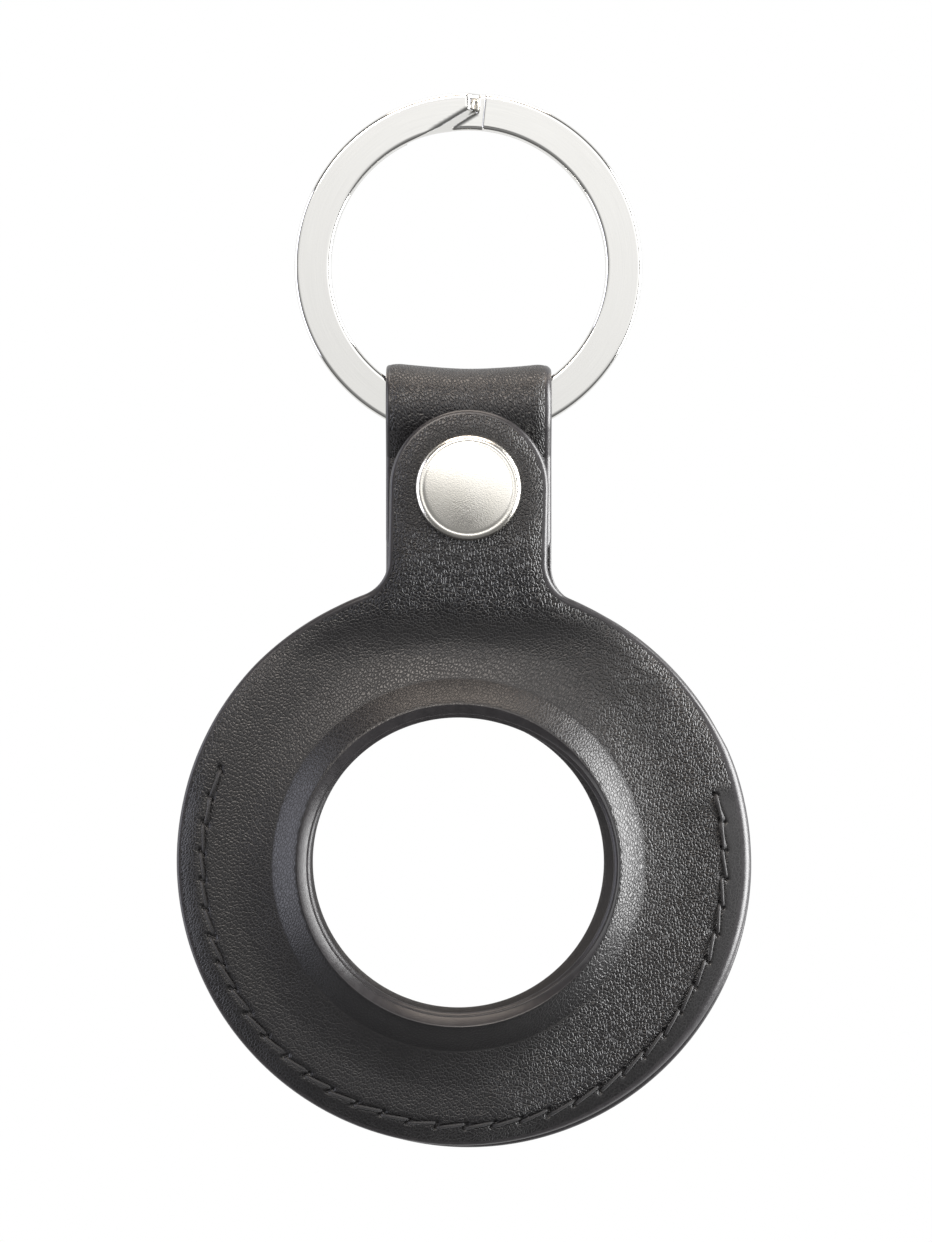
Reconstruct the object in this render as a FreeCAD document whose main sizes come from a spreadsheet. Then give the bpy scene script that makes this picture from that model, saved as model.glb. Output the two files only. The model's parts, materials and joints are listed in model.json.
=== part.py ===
import FreeCAD, Part
import math
import os
import Sketcher

# Leather holder for a coin-shaped tracker tag, hung on a split key ring. Millimetres: X to the right,
# Y to the back, Z up. The panels are drawn about the middle of the tag's seat, with the seam between front
# and back at Y = 0, and the snap about its own axis. Every piece is then placed about the ring's centre.

SIZES = {
    # Panels
    "disc_d": 54.0,  # outside of both panels
    "window_d": 28.2,  # window through both panels
    "leather": 1.1,  # thickness of the facing leather
    "lining": 0.5,  # thickness of the lining
    "edge_round": 0.4,  # rounding of the painted edges
    "lining_inset": 0.6,  # how far the lining stops short of the leather's edges
    # Moulded seat for the tag, the same in front and behind
    "seat_rise": 2.4,  # height of the seat's rim above the flange
    "seat_slope": 45.0,  # degrees from the flange
    "seat_land": 0.5,  # flat strip round the window
    "crease_round": 0.3,  # radius of the crease on the face of the leather
    "brow_round": 0.1,  # radius of the seat's shoulder on the face of the lining
    # Neck, tab and strap
    "tab_w": 14.8,  # front tab, with a half-round end about the snap
    "strap_w": 15.6,  # back strap
    "neck_fillet": 3.5,  # radius where the neck meets the disc
    "snap_height": 35.6,  # snap's axis above the middle of the seat
    "joggle_clear": 1.2,  # where the front starts to step forward, above the crease
    "joggle_end": 0.3,  # where it has stepped forward, below the cap
    "fold_tail": 6.0,  # the strap's folded end, below the snap
    "fold_gap": 0.1,  # between the two layers of the strap
    "fold_relief": 0.45,  # where the layers part, above the stud
    "loop_throat": 1.15,  # from there to the inside of the loop
    "loop_room": 0.2,  # between the loop and the turning wire
    "tab_room": 0.35,  # between the loop and the tab
    # Bend of the flap
    "bend_margin": 0.8,  # bend line above the highest stitch
    "bend_gap": 0.1,  # between the two parts of the front at the bend
    # Split ring of flat wire in two turns
    "ring_outer_d": 33.0,
    "wire_w": 3.45,  # from the inside of the ring to its outside
    "turn_thickness": 1.12,  # one turn
    "turn_gap": 0.12,  # between the turns
    "wire_round": 0.3,  # rounding of the wire
    "ring_end": 6.6,  # degrees from the top to the end of the front turn
    "ring_end_gap": 2.6,  # degrees between the wire's ends and the step
    "ring_step": 27.0,  # degrees over which the wire steps from front to back
    # Snap
    "cap_d": 10.0,
    "cap_rise": 1.3,
    "cap_crown": 0.32,  # how far the middle of the cap stands above its rim
    "cap_rim": 0.75,  # width of the rolled rim
    "snap_gap": 2.4,  # from the strap's face to the back of the tab
    "snap_plate": 0.4,  # thickness of the stud's, socket's and eyelet's plates
    "snap_clear": 0.15,  # between the closed stud and socket
    "socket_d": 6.8,
    "socket_lip": 0.3,  # lip that keeps the spring in
    "spring_wire": 0.4,
    "spring_room": 0.05,  # between the spring and its groove
    "groove_depth": 0.35,
    "stud_flange_d": 5.4,
    "stud_neck_d": 3.0,
    "stud_head_d": 3.6,
    "stud_rise": 1.65,  # height of the stud above the strap's face
    "stud_wall": 0.3,
    "eyelet_flange_d": 4.8,
    "post_d": 1.8,  # posts of the cap and the eyelet
    "post_bore_d": 1.1,
    "post_curl": 0.25,  # how far a post's end is rolled out
    "post_room": 0.1,  # between a post and its hole
    # Stitching
    "seam_margin": 2.3,  # from the disc's edge to the seam
    "stitch_right": 16.0,  # degrees above the horizontal where the seam ends
    "stitch_left": 21.5,
    "stitch_count": 35,
    "thread_d": 0.6,
    "needle_room": 0.1,  # between the thread and its holes
    "stitch_slant": 0.28,  # how far a stitch's ends lie off the seam
    "stitch_lift": 0.02,  # between the thread and the leather
}

doc = FreeCAD.newDocument("tag_holder")
sheet = doc.addObject("Spreadsheet::Sheet", "Sizes")
for row, (alias, number) in enumerate(SIZES.items(), start=1):
    sheet.set(f"A{row}", alias)
    sheet.set(f"B{row}", str(number))
    sheet.setAlias(f"B{row}", alias)
doc.recompute()


def value(expression):
    """The number that an expression gives with the sheet's sizes."""
    result = sheet.evalExpression(expression)
    return float(getattr(result, "Value", result))


def s(alias):
    """The expression for one of the sheet's sizes."""
    return f"Sizes.{alias}"


def size(alias):
    """The number in one of the sheet's cells."""
    return value(s(alias))


# Lengths that follow from the sheet, as expressions. Depths run forward from the seam.
disc_r = "(Sizes.disc_d / 2)"
window_r = "(Sizes.window_d / 2)"
strap_half = "(Sizes.strap_w / 2)"
tab_half = "(Sizes.tab_w / 2)"
cap_r = "(Sizes.cap_d / 2)"
panel = "(Sizes.lining + Sizes.leather)"

# Seat: two bends joined by a slope, measured on the line between leather and lining
crease_bend = "(Sizes.leather + Sizes.crease_round)"
brow_bend = "(Sizes.lining + Sizes.brow_round)"
bends = f"({crease_bend} + {brow_bend})"
slope_sin = "sin(Sizes.seat_slope)"
slope_cos = "cos(Sizes.seat_slope)"
slope_run = f"((Sizes.seat_rise - {bends} * (1 - {slope_cos})) / {slope_sin})"
brow_r = f"({window_r} + Sizes.seat_land)"
crease_r = f"({brow_r} + {bends} * {slope_sin} + {slope_run} * {slope_cos})"

# Strap: the back layer, the fold in front of it, and the loop round the ring's wire
strap_front = "Sizes.lining"
fold_back = "(Sizes.lining - Sizes.fold_gap)"
fold_face = f"({fold_back} - Sizes.leather)"
part_z = "(Sizes.snap_height + Sizes.stud_flange_d / 2 + Sizes.fold_relief)"
ring_outer_r = "(Sizes.ring_outer_d / 2)"
ring_inner_r = f"({ring_outer_r} - Sizes.wire_w)"
wire_half = "(Sizes.turn_thickness + Sizes.turn_gap / 2)"
chord_z = f"sqrt({ring_inner_r}^2 - {strap_half}^2)"
wire_reach = f"(({ring_outer_r} - {chord_z}) / 2)"
wire_corner = f"sqrt(({wire_reach} - Sizes.wire_round)^2 + ({wire_half} - Sizes.wire_round)^2)"
loop_r = f"({wire_corner} + Sizes.wire_round + Sizes.loop_room)"
loop_face_r = f"({loop_r} + Sizes.leather)"
tab_back = f"({fold_face} - Sizes.snap_gap)"
loop_y = f"({tab_back} + Sizes.tab_room + {loop_face_r})"
loop_z = f"({part_z} + Sizes.loop_throat + {loop_r})"
ring_z = f"({loop_z} + {ring_outer_r} - {wire_reach})"

# Front: it steps forward from the flange to the tab between two heights
joggle = f"(-{tab_back} - Sizes.lining)"
joggle_z0 = f"({crease_r} + Sizes.joggle_clear)"
joggle_z1 = f"(Sizes.snap_height - {cap_r} - Sizes.joggle_end)"
joggle_turn = f"(2 * atan({joggle} / ({joggle_z1} - {joggle_z0})))"
joggle_bend = f"(({joggle_z1} - {joggle_z0}) / (2 * sin({joggle_turn})))"
stitch_r = f"({disc_r} - Sizes.seam_margin)"
bend_z = f"({stitch_r} * sin(max(Sizes.stitch_left; Sizes.stitch_right)) + Sizes.bend_margin)"
needle_r = "(Sizes.thread_d / 2 + Sizes.needle_room)"
stitch_sweep = "(180 + Sizes.stitch_left + Sizes.stitch_right)"


def new_body(label):
    """A body placed so that the key ring's centre is the origin."""
    body = doc.addObject("PartDesign::Body", label)
    body.Label = label
    body.setExpression("Placement.Base.y", f"-{loop_y}")
    body.setExpression("Placement.Base.z", f"-{ring_z}")
    return body


def new_sketch(body, name, role):
    sketch = body.newObject("Sketcher::SketchObject", name)
    plane = next(item for item in body.Origin.OriginFeatures if item.Role == role)
    sketch.AttachmentSupport = [(plane, "")]
    sketch.MapMode = "FlatFace"
    return sketch


def bind_point(sketch, geometry, place, point):
    """Ties a point of a sketch to two expressions, measured from the sketch's origin."""
    for kind, expression in zip(("DistanceX", "DistanceY"), point):
        constraint = Sketcher.Constraint(kind, -1, 1, geometry, place, value(expression))
        index = sketch.addConstraint(constraint)
        sketch.setExpression(f"Constraints[{index}]", expression)


def bind_radius(sketch, geometry, expression):
    index = sketch.addConstraint(Sketcher.Constraint("Radius", geometry, value(expression)))
    sketch.setExpression(f"Constraints[{index}]", expression)


def add_circle(sketch, centre, radius):
    middle = FreeCAD.Vector(value(centre[0]), value(centre[1]), 0)
    circle = Part.Circle(middle, FreeCAD.Vector(0, 0, 1), value(radius))
    geometry = sketch.addGeometry(circle, False)
    bind_point(sketch, geometry, 3, centre)
    bind_radius(sketch, geometry, radius)


def add_loop(sketch, corners):
    """A closed outline. A corner is (u, v), or (u, v, centre u, centre v, radius) where an arc ends.

    Arcs are shorter than a half circle.
    """
    links = []
    places = [FreeCAD.Vector(value(corner[0]), value(corner[1]), 0) for corner in corners]
    for index, corner in enumerate(corners):
        before, here = places[index - 1], places[index]
        if len(corner) == 2:
            geometry = sketch.addGeometry(Part.LineSegment(before, here), False)
            links.append((geometry, 1, 2))
            continue
        centre = FreeCAD.Vector(value(corner[2]), value(corner[3]), 0)
        circle = Part.Circle(centre, FreeCAD.Vector(0, 0, 1), value(corner[4]))
        angles = [math.atan2(p.y - centre.y, p.x - centre.x) for p in (before, here)]
        forward = (angles[1] - angles[0]) % (2 * math.pi) < math.pi
        ends = angles if forward else angles[::-1]
        geometry = sketch.addGeometry(Part.ArcOfCircle(circle, ends[0], ends[1]), False)
        links.append((geometry, 1, 2) if forward else (geometry, 2, 1))
    for index, (geometry, first, last) in enumerate(links):
        following, follow_first, _ = links[(index + 1) % len(links)]
        sketch.addConstraint(Sketcher.Constraint("Coincident", geometry, last, following, follow_first))
        bind_point(sketch, geometry, last, corners[index][:2])
        if len(corners[index]) == 5:
            bind_radius(sketch, geometry, corners[index][4])


def revolve(body, name, corners):
    """Turns an outline of (radius, y) corners round the Y axis."""
    sketch = new_sketch(body, f"{name}_profile", "XY_Plane")
    add_loop(sketch, corners)
    feature = body.newObject("PartDesign::Revolution", name)
    feature.Profile = sketch
    feature.ReferenceAxis = (sketch, ["V_Axis"])
    feature.Angle = 360
    doc.recompute()
    return feature


def pad_across(body, name, corners, width):
    """Pads a side outline of (y, z) corners equally to the left and right."""
    sketch = new_sketch(body, f"{name}_profile", "YZ_Plane")
    add_loop(sketch, corners)
    feature = body.newObject("PartDesign::Pad", name)
    feature.Profile = sketch
    feature.SideType = "Symmetric"
    feature.setExpression("Length", width)
    doc.recompute()
    return feature


def cut_through(body, name, loops=(), circles=()):
    """Cuts outlines of (x, z) corners, and circles, right through the body along Y."""
    before = body.Shape.Volume
    sketch = new_sketch(body, f"{name}_outline", "XZ_Plane")
    for corners in loops:
        add_loop(sketch, corners)
    for centre, radius in circles:
        add_circle(sketch, centre, radius)
    feature = body.newObject("PartDesign::Pocket", name)
    feature.Profile = sketch
    feature.Type = "ThroughAll"
    feature.SideType = "Symmetric"
    doc.recompute()
    if not body.Shape.Volume < before:
        raise RuntimeError(f"{body.Label}: {name} cut nothing")
    return feature


def block(x_half, z_low, z_high):
    return [(f"-{x_half}", z_low), (x_half, z_low), (x_half, z_high), (f"-{x_half}", z_high)]


def cut_needle_holes(body):
    """One hole per stitch end, from the right end of the seam round the bottom to the left."""
    centre = (f"{stitch_r} * cos(Sizes.stitch_right)", f"{stitch_r} * sin(Sizes.stitch_right)")
    first = cut_through(body, "needle_hole", circles=[(centre, needle_r)])
    holes = body.newObject("PartDesign::PolarPattern", "needle_holes")
    holes.Originals = [first]
    axis = next(item for item in body.Origin.OriginFeatures if item.Role == "Y_Axis")
    holes.Axis = (axis, [""])
    holes.setExpression("Angle", stitch_sweep)
    holes.setExpression("Occurrences", "Sizes.stitch_count + 1")
    body.Tip = holes
    doc.recompute()


def seat_corners(side, face, back, rounded):
    """The moulded seat between two depths off the line that parts leather and lining.

    Returns the corners of the outer face from the window to the crease, and those of the back face the
    other way. side is "-" for the front panel and "" for the back one.
    """

    def at(radius, depth):
        return radius, f"{side}({depth})"

    def face_line(offset):
        crease = (crease_r, f"({crease_bend} + Sizes.lining)")
        brow = (brow_r, f"(Sizes.lining + Sizes.seat_rise - {brow_bend})")
        crease_radius = f"({crease_bend} - {offset})"
        brow_radius = f"({brow_bend} + {offset})"
        top = at(brow_r, f"{brow[1]} + {brow_radius}")
        slope_top = at(
            f"{brow[0]} + {brow_radius} * {slope_sin}", f"{brow[1]} + {brow_radius} * {slope_cos}"
        )
        slope_foot = at(
            f"{crease[0]} - {crease_radius} * {slope_sin}", f"{crease[1]} - {crease_radius} * {slope_cos}"
        )
        foot = at(crease_r, f"{crease[1]} - {crease_radius}")
        return top, slope_top, slope_foot, foot, at(*brow), at(*crease), brow_radius, crease_radius

    top, slope_top, slope_foot, foot, brow, crease, brow_radius, crease_radius = face_line(face)
    outward = [
        top,
        (*slope_top, *brow, brow_radius),
        slope_foot,
        (*foot, *crease, crease_radius),
    ]
    top, slope_top, slope_foot, foot, brow, crease, brow_radius, crease_radius = face_line(back)
    inward = [
        foot,
        (*slope_foot, *crease, crease_radius),
        slope_top,
        (*top, *brow, brow_radius),
    ]
    rim_face = f"Sizes.lining + Sizes.seat_rise + {face}"
    rim_back = f"Sizes.lining + Sizes.seat_rise + {back}"
    if rounded:
        radius = "Sizes.edge_round"
        hole = [
            at(window_r, rim_back),
            at(window_r, f"{rim_face} - {radius}"),
            (
                *at(f"{window_r} + {radius}", rim_face),
                *at(f"{window_r} + {radius}", f"{rim_face} - {radius}"),
                radius,
            ),
        ]
    else:
        hole_r = f"({window_r} + Sizes.seat_land / 2)"
        hole = [at(hole_r, rim_back), at(hole_r, rim_face)]
    return hole + outward, inward


def leather_corners(side):
    """Section of a facing panel: seat, flange and rounded edges."""
    outward, inward = seat_corners(side, "Sizes.leather", "0", True)
    radius = "Sizes.edge_round"
    edge = [
        (f"{disc_r} - {radius}", f"{side}{panel}"),
        (
            disc_r,
            f"{side}({panel} - {radius})",
            f"{disc_r} - {radius}",
            f"{side}({panel} - {radius})",
            radius,
        ),
        (disc_r, f"{side}Sizes.lining"),
    ]
    return outward + edge + inward


def lining_corners(side):
    """Section of a lining: the same seat and flange, one layer further in."""
    outward, inward = seat_corners(side, "0", "(-Sizes.lining)", False)
    edge_r = f"({disc_r} - Sizes.lining_inset)"
    return outward + [(edge_r, f"{side}Sizes.lining"), (edge_r, "0")] + inward


def neck_corners(half):
    """Where a neck of this half width meets the disc: the fillet's centre and its foot on the disc."""
    reach = f"({disc_r} + Sizes.neck_fillet)"
    centre_x = f"({half} + Sizes.neck_fillet)"
    centre_z = f"sqrt({reach}^2 - {centre_x}^2)"
    foot = (f"({disc_r} * {centre_x} / {reach})", f"({disc_r} * {centre_z} / {reach})")
    return centre_x, centre_z, foot


def strap_corners():
    """Side outline of the strap: up behind, round the loop, and down in front to the folded end."""

    def branch(start_y, sign):
        """Tangent from where the layers part to the loop, behind (sign 1) or in front (sign -1)."""
        off_y = f"(({loop_y} - {start_y}) * {sign})"
        off_z = f"({loop_z} - {part_z})"
        reach = f"sqrt({off_y}^2 + {off_z}^2)"
        lean = f"(atan({off_y} / {off_z}) + asin({loop_r} / {reach}))"
        run = f"sqrt({reach}^2 - {loop_r}^2)"
        inner = (f"{start_y} + {sign} * {run} * sin({lean})", f"{part_z} + {run} * cos({lean})")
        outer = (
            f"{inner[0]} + {sign} * Sizes.leather * cos({lean})",
            f"{inner[1]} - Sizes.leather * sin({lean})",
        )
        corner = (f"{start_y} + {sign} * Sizes.leather", f"{part_z} - Sizes.leather * tan({lean} / 2)")
        return inner, outer, corner

    back_inner, back_outer, back_corner = branch(strap_front, "1")
    front_inner, front_outer, front_corner = branch(fold_back, "(-1)")
    hub = (loop_y, loop_z)
    tail_z = "(Sizes.snap_height - Sizes.fold_tail)"
    return [
        (strap_front, joggle_z0),
        (panel, joggle_z0),
        back_corner,
        back_outer,
        (f"{loop_y} + {loop_face_r}", loop_z, *hub, loop_face_r),
        (loop_y, f"{loop_z} + {loop_face_r}", *hub, loop_face_r),
        (f"{loop_y} - {loop_face_r}", loop_z, *hub, loop_face_r),
        (*front_outer, *hub, loop_face_r),
        front_corner,
        (fold_face, tail_z),
        (fold_back, tail_z),
        (fold_back, part_z),
        front_inner,
        (f"{loop_y} - {loop_r}", loop_z, *hub, loop_r),
        (loop_y, f"{loop_z} + {loop_r}", *hub, loop_r),
        (f"{loop_y} + {loop_r}", loop_z, *hub, loop_r),
        (*back_inner, *hub, loop_r),
        (strap_front, part_z),
    ]


def make_back_panel():
    body = new_body("back_panel")
    revolve(body, "disc", leather_corners(""))
    pad_across(body, "strap", strap_corners(), s("strap_w"))
    centre_x, centre_z, foot = neck_corners(strap_half)
    sketch = new_sketch(body, "neck_outline", "XZ_Plane")
    sketch.setExpression("AttachmentOffset.Base.z", f"-{panel}")
    add_loop(
        sketch,
        [
            foot,
            (strap_half, centre_z, centre_x, centre_z, s("neck_fillet")),
            (f"-{strap_half}", centre_z),
            (f"-{foot[0]}", foot[1], f"-{centre_x}", centre_z, s("neck_fillet")),
        ],
    )
    neck = body.newObject("PartDesign::Pad", "neck")
    neck.Profile = sketch
    neck.setExpression("Length", s("leather"))
    doc.recompute()
    hole_r = "(Sizes.post_d / 2 + Sizes.post_room)"
    cut_through(body, "post_hole", circles=[(("0", s("snap_height")), hole_r)])
    cut_needle_holes(body)
    return body


def make_back_lining():
    body = new_body("back_lining")
    revolve(body, "disc", lining_corners(""))
    cut_needle_holes(body)
    return body


def make_lower_front(label, corners):
    """The part of a front layer below the bend."""
    body = new_body(label)
    revolve(body, "disc", corners)
    cut_through(body, "bend_cut", loops=[block(s("disc_d"), f"{bend_z} - Sizes.bend_gap", s("disc_d"))])
    cut_needle_holes(body)
    return body


def ribbon_corners(face, back, top):
    """Side outline of a front layer between two depths: flat, stepping forward, then flat again."""
    middle_z = f"(({joggle_z0} + {joggle_z1}) / 2)"

    def line(depth):
        y = f"(-({depth}))"
        ahead = f"({depth} - Sizes.lining)"
        middle = (
            f"({y} - {joggle} / 2 - {ahead} * (cos({joggle_turn}) - 1))",
            f"({middle_z} - {ahead} * sin({joggle_turn}))",
        )
        first = (f"({y} - ({joggle_bend} - {ahead}))", joggle_z0, f"({joggle_bend} - {ahead})")
        second = (
            f"({y} - {joggle} + ({joggle_bend} + {ahead}))",
            joggle_z1,
            f"({joggle_bend} + {ahead})",
        )
        return y, middle, first, second

    face_y, face_middle, face_first, face_second = line(face)
    back_y, back_middle, back_first, back_second = line(back)
    return [
        (back_y, "0"),
        (face_y, "0"),
        (face_y, joggle_z0),
        (*face_middle, *face_first),
        (f"{face_y} - {joggle}", joggle_z1, *face_second),
        (f"{face_y} - {joggle}", top),
        (f"{back_y} - {joggle}", top),
        (f"{back_y} - {joggle}", joggle_z1),
        (*back_middle, *back_second),
        (back_y, joggle_z0, *back_first),
    ]


def make_flap_layer(label, face, back, seat, outline):
    """The part of a front layer above the bend: a stepped sheet cut to its outline, with its seat."""
    body = new_body(label)
    top = f"(Sizes.snap_height + {tab_half})"
    pad_across(body, "sheet", ribbon_corners(face, back, top), s("disc_d"))
    frame = block(s("disc_d"), f"-{disc_r}", f"2 * {top}")
    cut_through(body, "outline", loops=[frame, outline])
    cut_through(body, "seat_opening", circles=[(("0", "0"), crease_r)])
    revolve(body, "seat", seat)
    cut_through(body, "bend_cut", loops=[block(s("disc_d"), f"-{s('disc_d')}", bend_z)])
    return body


def make_front_flap():
    centre_x, centre_z, foot = neck_corners(tab_half)
    snap_z = s("snap_height")
    fillet = s("neck_fillet")
    outline = [
        (disc_r, "0"),
        (*foot, "0", "0", disc_r),
        (tab_half, centre_z, centre_x, centre_z, fillet),
        (tab_half, snap_z),
        ("0", f"{snap_z} + {tab_half}", "0", snap_z, tab_half),
        (f"-{tab_half}", snap_z, "0", snap_z, tab_half),
        (f"-{tab_half}", centre_z),
        (f"-{foot[0]}", foot[1], f"-{centre_x}", centre_z, fillet),
        (f"-{disc_r}", "0", "0", "0", disc_r),
    ]
    outward, inward = seat_corners("-", "Sizes.leather", "0", True)
    body = make_flap_layer("front_flap", panel, s("lining"), outward + inward, outline)
    hole_r = "(Sizes.post_d / 2 + Sizes.post_room)"
    cut_through(body, "post_hole", circles=[(("0", snap_z), hole_r)])
    return body


def make_flap_lining():
    edge_r = f"({disc_r} - Sizes.lining_inset)"
    outline = [
        (edge_r, "0"),
        ("0", edge_r, "0", "0", edge_r),
        (f"-{edge_r}", "0", "0", "0", edge_r),
    ]
    outward, inward = seat_corners("-", "0", "(-Sizes.lining)", False)
    return make_flap_layer("flap_lining", s("lining"), "0", outward + inward, outline)


def snap_body(label):
    """A body about the snap's axis, with Y = 0 on the face of the strap's folded end."""
    body = doc.addObject("PartDesign::Body", label)
    body.Label = label
    body.setExpression("Placement.Base.y", f"{fold_face} - {loop_y}")
    body.setExpression("Placement.Base.z", f"Sizes.snap_height - {ring_z}")
    return body


# Depths of the snap's parts, measured from the face of the strap's folded end
post_r = "(Sizes.post_d / 2)"
bore_r = "(Sizes.post_bore_d / 2)"
curl_r = f"({post_r} + Sizes.post_curl)"
plate = s("snap_plate")
strap_back = "(2 * Sizes.leather + Sizes.fold_gap)"
tab_face = "(Sizes.snap_gap + Sizes.leather)"
socket_floor = "(Sizes.snap_gap - Sizes.snap_plate)"
socket_mouth = "(Sizes.snap_plate + Sizes.snap_clear)"
mouth_r = "(Sizes.stud_head_d / 2 + Sizes.snap_clear)"
groove_foot = f"({socket_mouth} + Sizes.socket_lip)"
groove_top = f"({groove_foot} + Sizes.spring_wire + 2 * Sizes.spring_room)"
groove_r = f"({mouth_r} + Sizes.groove_depth)"


def make_snap_stud():
    body = snap_body("snap_stud")
    neck_r = "(Sizes.stud_neck_d / 2)"
    head_r = "(Sizes.stud_head_d / 2)"
    swell = f"({head_r} - {neck_r})"
    rise = s("stud_rise")
    inside_r = f"({neck_r} - Sizes.stud_wall)"
    hole_r = f"({post_r} + Sizes.post_room / 2)"
    flange_r = "(Sizes.stud_flange_d / 2)"
    revolve(
        body,
        "stud",
        [
            (hole_r, "0"),
            (flange_r, "0"),
            (flange_r, f"-{plate}"),
            (neck_r, f"-{plate}"),
            (neck_r, f"-({rise} - 2 * {swell})"),
            (head_r, f"-({rise} - {swell})"),
            (neck_r, f"-{rise}", neck_r, f"-({rise} - {swell})", swell),
            ("0", f"-{rise}"),
            ("0", f"-({rise} - Sizes.stud_wall)"),
            (inside_r, f"-({rise} - Sizes.stud_wall)"),
            (inside_r, f"-{plate}"),
            (hole_r, f"-{plate}"),
        ],
    )
    return body


def make_snap_eyelet():
    body = snap_body("snap_eyelet")
    flange_r = "(Sizes.eyelet_flange_d / 2)"
    far = f"({strap_back} + {plate})"
    half = f"({plate} / 2)"
    curl = f"({plate} + Sizes.post_curl)"
    revolve(
        body,
        "eyelet",
        [
            (bore_r, far),
            (f"{flange_r} - {half}", far),
            (flange_r, f"{far} - {half}", f"{flange_r} - {half}", f"{far} - {half}", half),
            (flange_r, strap_back),
            (post_r, strap_back),
            (post_r, f"-{plate}"),
            (curl_r, f"-{plate}"),
            (post_r, f"-{curl}", post_r, f"-{plate}", s("post_curl")),
            (bore_r, f"-{curl}"),
        ],
    )
    return body


def make_snap_cap():
    body = snap_body("snap_cap")
    rise = s("cap_rise")
    rim = s("cap_rim")
    shoulder_r = f"({cap_r} - {rim})"
    crown = f"({tab_face} + {rise})"
    step = f"({crown} - Sizes.cap_crown)"
    dome_r = f"(({shoulder_r}^2 + Sizes.cap_crown^2) / (2 * Sizes.cap_crown))"
    curl = f"({socket_floor} - Sizes.post_curl)"
    revolve(
        body,
        "cap",
        [
            ("0", f"-{curl}"),
            (post_r, f"-{curl}"),
            (curl_r, f"-{socket_floor}", post_r, f"-{socket_floor}", s("post_curl")),
            (post_r, f"-{socket_floor}"),
            (post_r, f"-{tab_face}"),
            (cap_r, f"-{tab_face}"),
            (cap_r, f"-({step} - {rim})"),
            (shoulder_r, f"-{step}", shoulder_r, f"-({step} - {rim})", rim),
            ("0", f"-{crown}", "0", f"-({crown} - {dome_r})", dome_r),
        ],
    )
    return body


def make_snap_socket():
    body = snap_body("snap_socket")
    outer_r = "(Sizes.socket_d / 2)"
    hole_r = f"({post_r} + Sizes.post_room / 2)"
    revolve(
        body,
        "socket",
        [
            (hole_r, f"-{s('snap_gap')}"),
            (outer_r, f"-{s('snap_gap')}"),
            (outer_r, f"-{socket_mouth}"),
            (mouth_r, f"-{socket_mouth}"),
            (mouth_r, f"-{groove_foot}"),
            (groove_r, f"-{groove_foot}"),
            (groove_r, f"-{groove_top}"),
            (mouth_r, f"-{groove_top}"),
            (mouth_r, f"-{socket_floor}"),
            (hole_r, f"-{socket_floor}"),
        ],
    )
    return body


def make_snap_spring():
    body = snap_body("snap_spring")
    wire_r = "(Sizes.spring_wire / 2)"
    centre = (f"{groove_r} - Sizes.spring_room - {wire_r}", f"-({groove_foot} + {groove_top}) / 2")
    sketch = new_sketch(body, "spring_profile", "XY_Plane")
    add_circle(sketch, centre, wire_r)
    spring = body.newObject("PartDesign::Revolution", "spring")
    spring.Profile = sketch
    spring.ReferenceAxis = (sketch, ["V_Axis"])
    spring.Angle = 360
    doc.recompute()
    return body


def wire_section(degrees, y):
    """Outline of the ring's wire, rounded at its corners, at an angle from the top."""
    low, high = value(ring_inner_r), value(ring_outer_r)
    half, radius = size("turn_thickness") / 2, size("wire_round")
    corners = [
        (y - half, low, 1, 1),
        (y + half, low, -1, 1),
        (y + half, high, -1, -1),
        (y - half, high, 1, -1),
    ]
    edges, starts, ends = [], [], []
    for index, (corner_y, corner_z, in_y, in_z) in enumerate(corners):
        along = FreeCAD.Vector(0, corner_y + in_y * radius, corner_z)
        upright = FreeCAD.Vector(0, corner_y, corner_z + in_z * radius)
        bulge = radius * (1 - math.sqrt(0.5))
        middle = FreeCAD.Vector(0, corner_y + in_y * bulge, corner_z + in_z * bulge)
        first, last = (upright, along) if index % 2 == 0 else (along, upright)
        edges.append(Part.Arc(first, middle, last).toShape())
        starts.append(first)
        ends.append(last)
    lines = [Part.makeLine(ends[i], starts[(i + 1) % 4]) for i in range(4)]
    wire = Part.Wire([edge for pair in zip(edges, lines) for edge in pair])
    wire.rotate(FreeCAD.Vector(), FreeCAD.Vector(0, 1, 0), degrees)
    return wire


def make_split_ring():
    """Two flat turns of wire, one behind the other, joined by a step at the top."""
    layer = (size("turn_thickness") + size("turn_gap")) / 2
    step_end = size("ring_end") - size("ring_end_gap")
    step_start = step_end - size("ring_step")
    turn = 360 + step_start - size("ring_end")
    axis = FreeCAD.Vector(0, 1, 0)
    front = Part.Face(wire_section(size("ring_end"), -layer)).revolve(FreeCAD.Vector(), axis, turn)
    back = Part.Face(wire_section(step_end, layer)).revolve(FreeCAD.Vector(), axis, turn)
    stations = 7
    sections = []
    for index in range(stations):
        share = index / (stations - 1)
        height = -layer * math.cos(math.pi * share)
        sections.append(wire_section(step_start + share * size("ring_step"), height))
    step = Part.makeLoft(sections, True, False)
    ring = doc.addObject("Part::Feature", "split_ring")
    ring.Label = "split_ring"
    ring.Shape = front.fuse([step, back]).removeSplitter().Solids[0]
    ring.Placement = FreeCAD.Placement()
    return ring


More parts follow.
